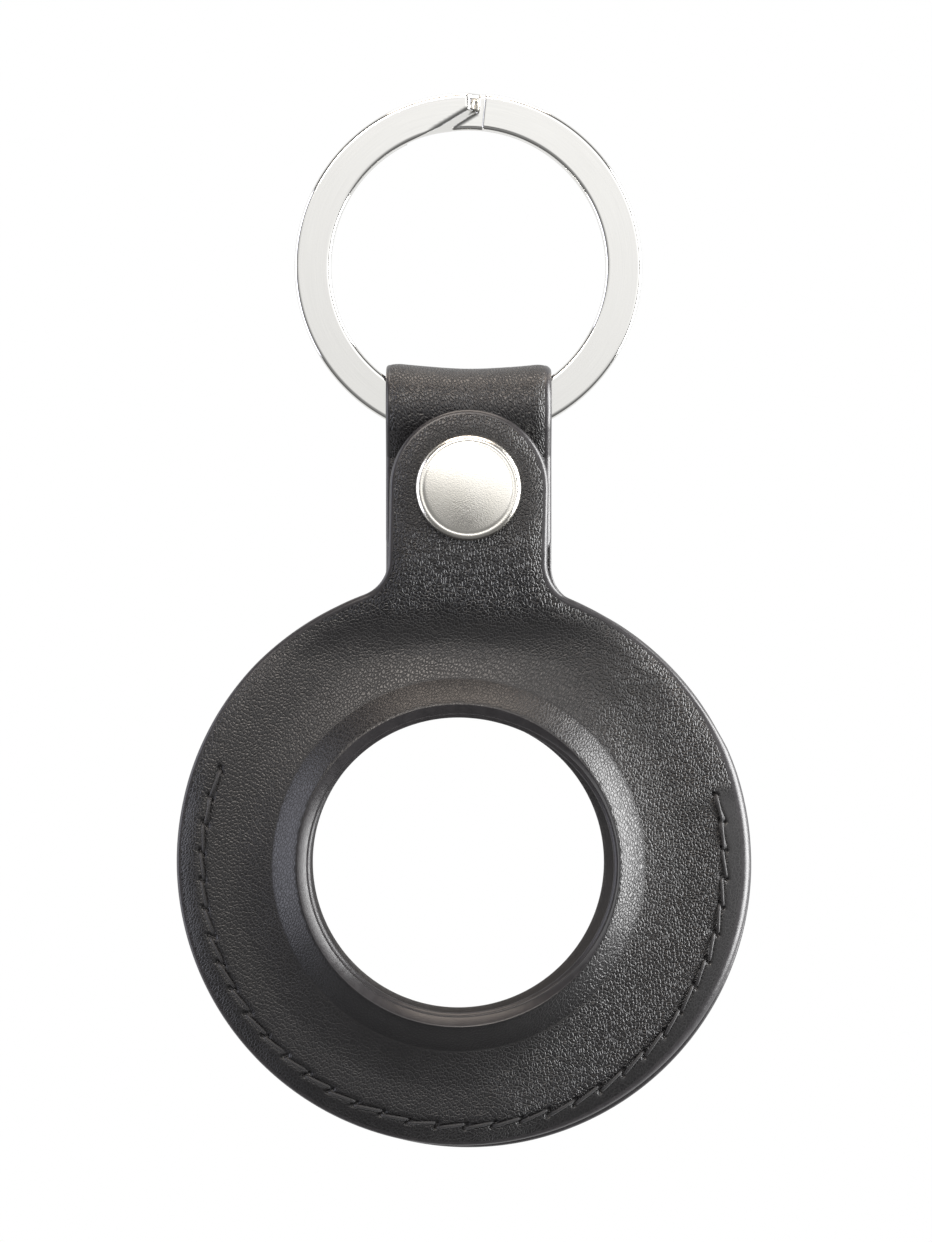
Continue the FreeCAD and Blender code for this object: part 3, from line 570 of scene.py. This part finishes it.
relief = add_node(tree, "ShaderNodeMath", {0: pores, 1: PORE_SHARE, 2: grain["pebble"]},
                  operation="MULTIPLY_ADD")
gloss = add_node(tree, "ShaderNodeMapRange", {"Value": grain["pebble"], "To Min": 0.52, "To Max": 0.31})
lay_finish(tree, broad, "#0d0c0e", "#181718", relief, depth, 0.16, {"Roughness": gloss, "IOR": 1.53})

# %% [markdown]
# ## Edge paint
#
# Cut edges of leather goods are sanded and painted with a flexible acrylic, which dries to a smooth dome. It
# is a little glossier than the grain, and uneven where the brush left more or less of it.

# %% Edge paint material
BRUSH_MARKS = 1.2  # to a millimetre

edge_paint, tree = new_material("acrylic_edge_paint")
brush = add_node(tree, "ShaderNodeTexNoise", {"Vector": pattern_place(tree), "Scale": BRUSH_MARKS,
                 "Detail": 4.0})
gloss = add_node(tree, "ShaderNodeMapRange", {"Value": brush, "To Min": 0.26, "To Max": 0.40})
lay_finish(tree, brush, "#1d1c1e", "#2e2c2e", brush, 0.5, 0.05, {"Roughness": gloss, "IOR": 1.49})

# %% [markdown]
# ## The seam
#
# The needle cuts a slanted slit, so each stitch starts at the outer end of one slit and ends at the inner
# end of the next, which gives the seam its saw-tooth line. The thread pulls the leather down with it. That
# dip is real shape, so it is moved into the leather's points and not left to a bump.

# %% Stitch places
SEAM_R, STITCHES = 24.7, 35
SEAM_RIGHT, SEAM_LEFT = math.radians(16.0), math.radians(21.5)
SEAM_OFF = np.array([-0.45, 0.0])
SLIT, SLIT_TURN, HAND_ERROR = 0.23, 0.008, 0.05

hole_angles = np.linspace(SEAM_RIGHT, -math.pi - SEAM_LEFT, STITCHES + 1)
slit_in, slit_out = (
    SEAM_OFF + radius * np.stack([np.cos(hole_angles + turn), np.sin(hole_angles + turn)], 1)
    + np.random.default_rng(seed).normal(0, HAND_ERROR, (STITCHES + 1, 2))
    for radius, turn, seed in ((SEAM_R - SLIT, SLIT_TURN, 3), (SEAM_R + SLIT, -SLIT_TURN, 4))
)
print("stitch pitch", round(SEAM_R * abs(hole_angles[1] - hole_angles[0]), 2), "mm")

# %% The dip that the thread pulls
DIP_REACH, FAR = 1.6, 9.0
SLIT_DEEP, SLIT_WIDE = 0.28, 0.11
GROOVE_DEEP, GROOVE_WIDE = 0.13, 0.27


def near_lines(u, v, starts, ends):
    """Distance of each point from the nearest of some short lines."""
    nearest = np.full(len(u), FAR)
    for start, run in zip(starts, ends - starts):
        share = np.clip(((u - start[0]) * run[0] + (v - start[1]) * run[1]) / (run @ run), 0, 1)
        apart = np.hypot(u - start[0] - share * run[0], v - start[1] - share * run[1])
        nearest = np.minimum(nearest, apart)
    return nearest


def seam_dip(u, v):
    """How far the thread pulls the leather down, in millimetres."""
    dip = np.zeros(len(u))
    near = np.abs(np.hypot(u - SEAM_OFF[0], v - SEAM_OFF[1]) - SEAM_R) < DIP_REACH
    slits = near_lines(u[near], v[near], slit_in, slit_out)
    threads = near_lines(u[near], v[near], slit_out[1:], slit_in[:-1])
    dip[near] = SLIT_DEEP * np.exp(-(slits / SLIT_WIDE) ** 2)
    dip[near] += GROOVE_DEEP * np.exp(-(threads / GROOVE_WIDE) ** 2)
    return dip


print("deepest dip", round(float(seam_dip(*slit_in.T).max()), 2), "mm")

# %% Creases at the seam's right end
FAN_AT = SEAM_OFF + SEAM_R * np.array([math.cos(SEAM_RIGHT), math.sin(SEAM_RIGHT)])
FAN_AWAY, FAN_LONG, FAN_REACH = 2.8, 1.7, 6.0
FAN_TURN, FAN_WIDE = 222, 26
CREASE_DEEP, CREASE_RATE, CREASE_TWIST = 0.03, 35, 0.8
STRIP_HALF, STRIP_SPARE, RIGHT_SIDE = 0.9, 0.5, 16


def wrinkle_fan(u, v):
    """Small creases that run down from the right end of the seam, where the leather was gathered, in mm."""
    away = np.hypot(u - FAN_AT[0], v - FAN_AT[1])
    turn = np.degrees(np.arctan2(v - FAN_AT[1], u - FAN_AT[0])) % 360
    strength = np.exp(-((away - FAN_AWAY) / FAN_LONG) ** 2) * np.exp(-((turn - FAN_TURN) / FAN_WIDE) ** 2)
    return CREASE_DEEP * strength * np.sin(np.radians(CREASE_RATE * turn) + CREASE_TWIST * away)


def by_seam(points):
    """True for points in the strip that the stitches and creases shape."""
    x, y = (points - SEAM_OFF).T
    from_middle = np.hypot(x, y)
    strip = (np.abs(from_middle - SEAM_R) < STRIP_HALF) & (y < SEAM_R * math.sin(SEAM_LEFT) + STRIP_SPARE)
    in_fan = (x > RIGHT_SIDE) & (np.hypot(*(points - FAN_AT).T) < FAN_REACH) & (from_middle < SEAM_R)
    return strip | in_fan


print("creases start at", FAN_AT.round(1))

# %% [markdown]
# ## The front leather
#
# On the real holder the front is one piece: a disc with a tab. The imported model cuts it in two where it
# bends, because a joint needs two bodies. The tab steps forward in two soft bends to clear the strap
# behind it.

# %% Outlines of the panels
SNAP_Z = 35.6
TAB_HALF, NECK_FILLET = 7.4, 3.5
FRONT_R, FRONT_RAISED, FRONT_LEAN = 26.95, 0.35, math.radians(-1.1)


def disc_outline(radius, raised, half, top):
    """A disc with a neck of this half width. top lists the points above the neck, from right to left."""
    reach = radius + NECK_FILLET
    x = half + NECK_FILLET
    z = math.sqrt(reach ** 2 - x ** 2)
    foot = math.degrees(math.atan2(z, x))
    right = arc((x, z + raised), NECK_FILLET, 180 + foot, 180, 20)
    left = [(-px, pz) for px, pz in right[::-1]]
    return right + top + left + arc((0, raised), radius, 180 - foot, 360 + foot, 400)[1:-1]


def round_loop(centre, radius, start, end, count):
    """A closed circle: the last point of the arc would be the first one again."""
    return arc(centre, radius, start, end, count)[:-1]


def lean(outline):
    """Turns the front's pattern a little about the snap: the two panels were not sewn quite in line."""
    c, s = math.cos(FRONT_LEAN), math.sin(FRONT_LEAN)
    x, z = np.array(outline).T - np.array([[0], [SNAP_Z]])
    return np.stack([x * c - z * s, x * s + z * c + SNAP_Z], 1)


tab_end = arc((0, SNAP_Z), TAB_HALF, 0, 180, 80)
front_outline = lean(disc_outline(FRONT_R, FRONT_RAISED, TAB_HALF, tab_end))
window = round_loop(SEAT_OFF, window_flat, 360, 0, 240)
print("front outline", len(front_outline), "points")

# %% How hand work shapes the leather
STEP_LOW, STEP_HIGH, STEP_OUT = crease_r + 1.2, 30.3, 2.6
BEVEL, BEVEL_RUN, BEVEL_STOPS = 0.75, 1.5, (19, 11)
TAB_BEVEL, TAB_STARTS = 0.4, (23, 27)
PINCH, PINCH_RUN, PINCH_STOPS = LINING - 0.03, 2.6, (9, 6)
PINCH_CLEAR, FLANGE_RUN = 3, 2
HUMPS, HUMP_RATES, HUMP_STARTS = 0.035, (0.31, 0.27), (0.9, 0.4)
WAVES, WAVE_RATES = 0.02, (0.83, -0.51)


def step_forward(z):
    """How far the tab stands forward at a height, and its slope: two arcs, one after the other."""
    half = (STEP_HIGH - STEP_LOW) / 2
    turn = 2 * math.atan(STEP_OUT / (2 * half))
    bend = half / math.sin(turn)
    lower = np.clip(z - STEP_LOW, 0, half)
    upper = np.clip(STEP_HIGH - z, 0, half)
    below = z < STEP_LOW + half
    near = np.where(below, lower, upper)
    level = np.sqrt(bend ** 2 - near ** 2)
    return np.where(below, bend - level, STEP_OUT - (bend - level)), near / level


def ripple(u, v):
    """Slow unevenness of hand-pressed leather, in millimetres: broad humps and slanted waves."""
    humps = HUMPS * np.sin(HUMP_RATES[0] * u + HUMP_STARTS[0]) * np.sin(HUMP_RATES[1] * v + HUMP_STARTS[1])
    return humps + WAVES * np.sin(WAVE_RATES[0] * u + WAVE_RATES[1] * v)


def bevel_right(u, v, share, gap):
    """The right edges of both panels were sanded together to one slant, which looks forward."""
    right = np.clip(u / np.hypot(u, v), 0, 1) * fade(v, *BEVEL_STOPS)
    right = right + TAB_BEVEL * fade(u, 0, TAB_HALF) * fade(v, *TAB_STARTS)
    return BEVEL * right * (1 - share) * fade(gap, BEVEL_RUN, 0) ** 2


def pinch(u, v, gap):
    """Below the ends of the seam the two leathers are pressed and glued together at their edges."""
    sewn = fade(v, *PINCH_STOPS) * (np.hypot(u, v) > crease_r + PINCH_CLEAR)
    return PINCH * sewn * fade(gap, PINCH_RUN, 0) ** 1.5


def on_flange(u, v):
    """0 on the seat, 1 on the flange."""
    return fade(np.hypot(u, v), crease_r, crease_r + FLANGE_RUN)


print("tab steps forward", STEP_OUT, "mm over", round(STEP_HIGH - STEP_LOW, 1), "mm")

# %% Mould the front
ROLL, ROLL_RUN = 0.28, 1.6
SANDED_FROM, SANDED_STOPS = (0, 20), (12, 7)
DOMES, SKEW = (0.40, 0.05), 0.34


def place_front(u, v, depth, gap):
    """The front leather or its lining: moulded seat, seam, rolled edge and the step to the tab."""
    share = fade(depth, 0, LEATHER)
    sanded = fade(u, *SANDED_FROM) * fade(v, *SANDED_STOPS)
    roll = ROLL * (1 - sanded) * fade(gap, ROLL_RUN, 0) ** 2
    low = seam_dip(u, v) + (roll - ripple(u, v)) * on_flange(u, v) - wrinkle_fan(u, v)
    face = depth - share * low - pinch(u, v, gap)
    points = mould_disc(u, v, face, -1)
    points[:, 0] += bevel_right(u, v, share, gap)
    rise, slope = step_forward(points[:, 2])
    long = np.sqrt(1 + slope ** 2)
    points[:, 1] -= rise + face * (1 / long - 1)
    points[:, 2] -= face * slope / long
    return points


front = leather_piece("front_leather", front_outline, window, place_front, 0.0, LEATHER, DOMES, SKEW,
                      [leather, edge_paint], by_seam)
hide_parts("front_panel", "front_flap")

# %% [markdown]
# ## Linings
#
# Inside both panels lies a thin microfibre, glued to the leather and moulded with it. It shows at the window
# and when the flap is open. Its face is a dense felt of very fine fibres: dull, with a soft sheen. The front
# lining bends with the front leather, so it is blended in the same way.

# %% Lining material
NAP, NAP_CLOUDS = 7.0, 0.3  # to a millimetre: the felt is finer, and drawn as coarse as it needs to show

microfibre, tree = new_material("black_microfibre_lining")
mm = pattern_place(tree)
nap = add_node(tree, "ShaderNodeTexNoise", {"Vector": mm, "Scale": NAP, "Detail": 4.0, "Roughness": 0.7})
cloud = add_node(tree, "ShaderNodeTexNoise", {"Vector": mm, "Scale": NAP_CLOUDS, "Detail": 2.0})
lay_finish(tree, cloud, "#1f1e1f", "#302e2e", nap, 0.8, 0.06,
           {"Roughness": 0.9, "Sheen Weight": 0.25, "Sheen Roughness": 0.5})

# %% Front lining
LINING_INSET, LINING_GAP = 0.6, 0.02
LINING_DOMES, LINING_SKEW = (0.1, 0.05), 0.1

lining_window = round_loop(SEAT_OFF, window_flat - SKEW, 360, 0, 240)
lining_outline = lean(round_loop((0, FRONT_RAISED), FRONT_R - LINING_INSET, 0, 360, 400))
front_lining = leather_piece("front_lining_sheet", lining_outline, lining_window, place_front, -LINING,
                             -LINING_GAP, LINING_DOMES, LINING_SKEW, [microfibre, edge_paint])
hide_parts("front_lining", "flap_lining")

# %% [markdown]
# ## The back leather and its strap
#
# The back is cut like the front, with a longer strap instead of the tab. The strap runs up behind, opens
# round the wire of the ring, and comes down in front of itself to the snap. Its line seen from the side is
# again written as a direction that changes along the leather, which keeps the strap's length true. The
# loop is centred on the joint that the holder swings on.

# %% Line of the strap seen from the side
PART_Z, LOOP_R = 38.75, 3.358
FOLD_BACK, FOLD_END = 0.4, 29.6
SOFT_BEND, STRAP_STEPS = 1.5, 4000

joints = {joint["name"]: joint["pos_m"] for joint in frame["joints"]}
loop_y, loop_z = (np.array(joints["holder_swing"]) / MM - SEAT)[1:]


def strap_branch(y, sign):
    """Lean of the strap from where its layers part to the loop, and the length of that stretch."""
    across, up = (loop_y - y) * sign, loop_z - PART_Z
    reach = math.hypot(across, up)
    return math.atan2(across, up) + math.asin(LOOP_R / reach), math.sqrt(reach ** 2 - LOOP_R ** 2)


lean_back, run_back = strap_branch(LINING, 1)
lean_front, run_front = strap_branch(FOLD_BACK, -1)
cut_back, cut_front = SOFT_BEND * math.tan(lean_back / 2), SOFT_BEND * math.tan(lean_front / 2)
stretches = [
    (0.0, 0.0),
    (PART_Z - STEP_LOW - cut_back, 0.0),
    (SOFT_BEND * lean_back, lean_back),
    (run_back - cut_back, lean_back),
    (LOOP_R * (lean_back + math.pi + lean_front), -math.pi - lean_front),
    (run_front - cut_front, -math.pi - lean_front),
    (SOFT_BEND * lean_front, -math.pi),
    (PART_Z - FOLD_END - cut_front, -math.pi),
]
strap_marks = np.cumsum([length for length, _ in stretches])
strap_at, strap_turn, strap_z, strap_y = walk(strap_marks, [turn for _, turn in stretches], STRAP_STEPS)
strap_y += LINING
strap_z += STEP_LOW
print("strap ends at y", round(strap_y[-1], 3), "z", round(strap_z[-1], 3), "mm")
print("strap length", round(strap_marks[-1], 1), "mm")

# %% Mould the back
BACK_R, STRAP_HALF, STRAP_CORNER = 26.85, 7.8, 1.2
BACK_ROLL, BACK_ROLL_RUN, RIPPLE_SHIFT = 0.22, 1.2, 7
LOOP_DIP, DIP_INSIDE = 0.62, 0.1
STRAP_OUT, STRAP_IN, STRAP_EASE = 0.25, 0.45, 4


def place_back(u, v, depth, gap):
    """The back leather or its lining, with the strap's loop. The loop's top dips, most on its outside."""
    share = fade(depth, 0, LEATHER)
    edge = fade(gap, BACK_ROLL_RUN, 0) ** 2
    low = seam_dip(u, v) + (BACK_ROLL * edge - ripple(u + RIPPLE_SHIFT, v)) * on_flange(u, v)
    face = depth - share * low - pinch(u, v, gap)
    points = mould_disc(u, v, face, 1)
    strap = v > STEP_LOW
    u, v, share, face, edge = u[strap], v[strap], share[strap], face[strap], edge[strap]
    at = v - STEP_LOW
    turn, y, z = (np.interp(at, strap_at, line) for line in (strap_turn, strap_y, strap_z))
    sag = LOOP_DIP * (1 - (u / STRAP_HALF) ** 2) * np.clip(-np.sin(turn), 0, 1) ** 2
    cone = flange_height(np.hypot(u - SEAT_OFF[0], v - SEAT_OFF[1]))
    right = fade(u, 0, STRAP_HALF) * edge * fade(at, 0, STRAP_EASE)
    points[strap, 0] = u + (STRAP_OUT - STRAP_IN * share) * right
    points[strap, 1] = y + (face + cone) * np.cos(turn)
    points[strap, 2] = z - face * np.sin(turn) - sag * (DIP_INSIDE + (1 - DIP_INSIDE) * share)
    return points


corner = STRAP_HALF - STRAP_CORNER, STEP_LOW + strap_marks[-1] - STRAP_CORNER
strap_end = arc(corner, STRAP_CORNER, 0, 90, 8)
strap_end += [(-x, z) for x, z in strap_end[::-1]]
back_outline = disc_outline(BACK_R, 0.0, STRAP_HALF, strap_end)
back_panel = leather_piece("back_leather", back_outline, window, place_back, 0.0, LEATHER, DOMES, SKEW,
                           [leather, edge_paint], by_seam)
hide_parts("back_panel")
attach(back_panel, "holder")

lining_outline = round_loop((0, 0), BACK_R - LINING_INSET, 0, 360, 400)
back_lining = leather_piece("back_lining_sheet", lining_outline, lining_window, place_back, -LINING,
                            -LINING_GAP, LINING_DOMES, LINING_SKEW, [microfibre, edge_paint])
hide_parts("back_lining")
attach(back_lining, "holder")

# %% [markdown]
# ## Front pieces in the model's frame
#
# The front leather and its lining have their placement written into their points. They are not bent at the
# hinge here.

for piece in (front, front_lining):
    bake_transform(piece)

# %% [markdown]
# ## Thread
#
# Bonded polyester thread, waxed black and pressed flat into the leather, so that no twist shows. Each stitch
# comes up at the outer end of a slit, lies in its groove, and goes down at the inner end of the next. At both
# ends of the seam a few stitches are sewn back over the first ones, as a sewer does to lock it.

# %% Thread material: a dull black with fine fibres, which the wax holds together
FIBRES = 9.0  # to a millimetre: real ones are finer, and drawn as coarse as they need to show

thread, tree = new_material("waxed_polyester_thread")
place = add_node(tree, "ShaderNodeTexCoord").outputs["Object"]
fibre = add_node(tree, "ShaderNodeTexNoise", {"Vector": place, "Scale": FIBRES / MM, "Detail": 3.0})
lay_finish(tree, fibre, "#121213", "#2b2a2c", fibre, 0.6, 0.04, {"Roughness": 0.5, "Sheen Weight": 0.1})

# %% One strand of thread
THREAD_HALF, THREAD_FLAT = 0.16, 0.11
ALONG, AROUND = 22, 10


def tube_faces(rings, size):
    """Quads between neighbouring rings of points, and a face on each end."""
    quads = [(i * size + j, i * size + (j + 1) % size, (i + 1) * size + (j + 1) % size, (i + 1) * size + j)
             for i in range(rings - 1) for j in range(size)]
    return quads + [tuple(range(size))[::-1], tuple((rings - 1) * size + j for j in range(size))]


def strand(path):
    """Points of a flattened strand along a path, ring by ring."""
    run = np.gradient(path, axis=0)
    run /= np.linalg.norm(run, axis=1)[:, None]
    side = np.cross(run, (0, 1, 0))
    side /= np.linalg.norm(side, axis=1)[:, None]
    lift = np.cross(side, run)
    angles = np.linspace(0, 2 * np.pi, AROUND, endpoint=False)[None, :, None]
    rings = THREAD_HALF * np.cos(angles) * side[:, None] + THREAD_FLAT * np.sin(angles) * lift[:, None]
    return (path[:, None] + rings).reshape(-1, 3)


print("thread", 2 * THREAD_HALF, "mm wide and", 2 * THREAD_FLAT, "mm thick")

# %% Stitches of both sides
SUNK, CROWN, TUCK, TUCK_POWER = 0.20, 0.14, 0.9, 9
LOCK_START, LOCK_END, LOCK_RAISED = 0.992, 1.010, 0.10

pairs = [(slit_out[i + 1], slit_in[i], 0.0) for i in range(STITCHES)]
pairs += [(slit_out[i + 1] * LOCK_START, slit_in[i] * LOCK_END, LOCK_RAISED)
          for i in (0, 1, STITCHES - 2, STITCHES - 1)]
share = np.linspace(0, 1, ALONG)
bow = CROWN * np.sin(np.pi * share) - TUCK * np.abs(2 * share - 1) ** TUCK_POWER
faces = [tuple(first * ALONG * AROUND + i for i in face)
         for first in range(len(pairs)) for face in tube_faces(ALONG, AROUND)]
for name, side, node in (("front_thread", -1, "front_stitches"), ("back_thread", 1, "back_stitches")):
    points = []
    for start, end, raised in pairs:
        u, v = (start + share[:, None] * (end - start)).T
        points.append(strand(mould_disc(u, v, LEATHER - SUNK + raised + bow, side)))
    made = add_piece(name, to_model(np.concatenate(points)), faces, [thread])
    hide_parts(node)
    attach(made, "holder")
print(len(pairs), "stitches a side")

# %% [markdown]
# ## Metal
#
# The ring is spring steel wire, ground flat, polished and nickel plated: a hard, clear mirror with a few fine
# scratches. The snap is pressed brass, plated with satin nickel after bead blasting, which breaks the
# reflection into a soft glow with a fine speckle.

# %% Polished nickel-plated steel
SCRATCH_LONG, SCRATCHES = 5.0, 9.0  # millimetres, and to a millimetre across

ring_steel, tree = new_material("polished_nickel_plated_steel")
uv = add_node(tree, "ShaderNodeUVMap", uv_map="pattern")
rates = (PATTERN_MM / SCRATCH_LONG, PATTERN_MM * SCRATCHES, 1)
drawn = add_node(tree, "ShaderNodeVectorMath", {0: uv, 1: rates}, operation="MULTIPLY")
scratch = add_node(tree, "ShaderNodeTexNoise", {"Vector": drawn, "Scale": 1.0, "Detail": 4.0})
gloss = add_node(tree, "ShaderNodeMapRange", {"Value": scratch, "To Min": 0.04, "To Max": 0.14})
lay_finish(tree, scratch, "#d8d7d4", "#e2e1de", scratch, 0.1, 0.01, {"Metallic": 1.0, "Roughness": gloss})

# %% Satin nickel-plated brass
SPECKLE, SMEARS = 0.12, 0.35  # millimetres, and to a millimetre

snap_nickel, tree = new_material("satin_nickel_plated_brass")
place = add_node(tree, "ShaderNodeTexCoord").outputs["Object"]
blast = add_node(tree, "ShaderNodeTexNoise", {"Vector": place, "Scale": 1 / (SPECKLE * MM), "Detail": 2.0})
smear = add_node(tree, "ShaderNodeTexNoise", {"Vector": place, "Scale": SMEARS / MM, "Detail": 3.0})
gloss = add_node(tree, "ShaderNodeMapRange", {"Value": smear, "To Min": 0.15, "To Max": 0.23})
lay_finish(tree, smear, "#e6e2d8", "#f3f0ea", blast, 0.6, 0.02, {"Metallic": 1.0, "Roughness": gloss})

# %% [markdown]
# ## The split ring
#
# Flat spring wire is wound in two turns. At the top the front turn is folded back along a slanted line and
# becomes the rear turn, and the wire's cut end stands beside the fold. One section is carried round the whole
# path, and each of its points steps back when it has passed the fold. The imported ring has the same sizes, but
# a step that is straight across the wire.

# %% Section of the wire
RING_IN, RING_OUT = 13.05, 16.5
WIRE_T, TURN_GAP, WIRE_ROUND = 1.12, 0.12, 0.4

half, across = WIRE_T / 2 - WIRE_ROUND, np.linspace(0.03, 0.97, 14)
low, high = RING_IN + WIRE_ROUND, RING_OUT - WIRE_ROUND
section = arc((high, -half), WIRE_ROUND, -90, 0, 8) + arc((high, half), WIRE_ROUND, 0, 90, 8)
section += [(high + share * (low - high), WIRE_T / 2) for share in across]
section += arc((low, half), WIRE_ROUND, 90, 180, 8) + arc((low, -half), WIRE_ROUND, 180, 270, 8)
section = np.array(section + [(low + share * (high - low), -WIRE_T / 2) for share in across])
girth = np.cumsum(np.hypot(*np.diff(section, axis=0, prepend=section[:1]).T))
print("wire", round(RING_OUT - RING_IN, 2), "by", WIRE_T, "mm, girth", round(girth[-1], 1), "mm")

# %% Wind the ring: angles in degrees from the top
WIRE_START, STEP_START, TIP, STEP_DONE, WIRE_STOP = 5.6, 335.0, 359.0, 364.4, 694.0
FOLD_AT, FOLD_WAY, FOLD_WIDE = np.array([-5.2, 12.1]), np.array([0.521, -0.853]), 1.15
END_RUN, END_SIZES = 0.8, ((0.0, (0.90, 0.75)), (0.25, 0.97), (1.0, 1.0))
COARSE, FINE = ((1.0, 0.25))

turns = np.concatenate([np.arange(WIRE_START, STEP_START, COARSE), np.arange(STEP_START, STEP_DONE, FINE),
                        np.arange(STEP_DONE, WIRE_STOP, COARSE), [WIRE_STOP]])
middle, layer = np.array([(RING_IN + RING_OUT) / 2, 0.0]), (WIRE_T + TURN_GAP) / 2
first_end, last_end = (
    [(turn + run * share, middle + (section - middle) * size) for share, size in END_SIZES]
    for turn, run in ((turns[0], END_RUN), (turns[-1], -END_RUN))
)
stations = first_end + [(turn, section) for turn in turns[1:-1]] + last_end[::-1]
points, uvs = [], []
for turn, outline in stations:
    angle = math.radians(turn)
    flat = outline[:, :1] * np.array([[math.sin(angle), math.cos(angle)]])
    past = (flat - FOLD_AT) @ FOLD_WAY / FOLD_WIDE if turn > STEP_START else np.zeros(len(outline))
    past = np.clip(np.maximum(past, (turn - TIP) / (STEP_DONE - TIP)), 0, 1)
    back = layer * (2 * past ** 2 * (3 - 2 * past) - 1)
    points += [(x, y, z) for (x, z), y in zip(flat, outline[:, 1] + back)]
    uvs += [(angle * middle[0] / PATTERN_MM, g / PATTERN_MM) for g in girth]
ring = add_piece("wound_ring", np.array(points) * MM, tube_faces(len(stations), len(section)), [ring_steel],
                 np.array(uvs))
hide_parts("split_ring")
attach(ring, "key_ring")

# %% [markdown]
# ## The snap's cap
#
# The cap is pressed from thin sheet: a low dome, a fine groove where the punch stopped, and a rolled rim. A
# section turned round the snap's axis gives it, with enough steps for a smooth reflection. It replaces the
# packed cap, whose few large faces would show in a mirror-like metal.

# %% Section of the cap, from its middle out and back to the post
CAP_R, CAP_RISE, CAP_CROWN, CAP_RIM = 5.0, 1.3, 0.32, 0.75
CAP_TURNED_IN, POST_R = 0.25, 0.9
DOME_STEPS, RIM_STEPS, RIM_ENDS = 40, 26, (4, 100)  # the rim's ends in degrees
GROOVE_R, GROOVE_W, GROOVE_DEPTH = 4.32, 0.16, 0.07

cap_low, cap_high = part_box("snap_cap")
cap_front, cap_z = cap_low.y / MM, (cap_low.z + cap_high.z) / 2 / MM
dome_r = CAP_R - CAP_RIM
section = [(r, CAP_CROWN * (r / dome_r) ** 2) for r in np.linspace(0.0, dome_r, DOME_STEPS)]
section += [(dome_r + CAP_RIM * math.sin(a), CAP_CROWN + CAP_RIM * (1 - math.cos(a)))
            for a in np.radians(np.linspace(*RIM_ENDS, RIM_STEPS))]
section = [(r, cap_front + y + GROOVE_DEPTH * math.exp(-((r - GROOVE_R) / GROOVE_W) ** 2))
           for r, y in section]
section += [(CAP_R - CAP_TURNED_IN, cap_front + CAP_RISE), (POST_R, cap_front + CAP_RISE)]
section.append((POST_R, cap_high.y / MM))
print("cap", 2 * CAP_R, "mm across,", len(section), "points in its section")

# %% Turn the cap
CAP_STEPS = 128

size = len(section)
points, faces = [], []
for turn in np.linspace(0, 2 * np.pi, CAP_STEPS, endpoint=False):
    points += [(r * math.cos(turn), y, cap_z + r * math.sin(turn)) for r, y in section]
for here in range(CAP_STEPS):
    first, following = here * size, (here + 1) % CAP_STEPS * size
    faces += [(first + i, first + i + 1, following + i + 1, following + i) for i in range(size - 1)]
faces.append(tuple(here * size + size - 1 for here in range(CAP_STEPS)))
cap = add_piece("snap_cap_pressed", np.array(points) * MM, faces, [snap_nickel], weld=1e-7)
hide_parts("snap_cap")
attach(cap, "flap")

# %% [markdown]
# ## Inner parts of the snap
#
# The socket, its spring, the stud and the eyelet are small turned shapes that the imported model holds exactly.
# They stay as they are and only get the satin nickel of the cap.

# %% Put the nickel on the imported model's pieces
for name in ("snap_socket", "snap_spring", "snap_stud", "snap_eyelet"):
    slots = frame["nodes"][name].data.materials
    slots.clear()
    slots.append(snap_nickel)
    print("satin nickel on", name)

# %% [markdown]
# ## Size of the visual model
#
# The box of the visual model is printed in millimetres. The visual model has to stay the size of the
# imported one.

# %% Print the visual box
low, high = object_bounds()
print("visual box in mm", [round(1000 * (h - l), 1) for l, h in zip(low, high)])
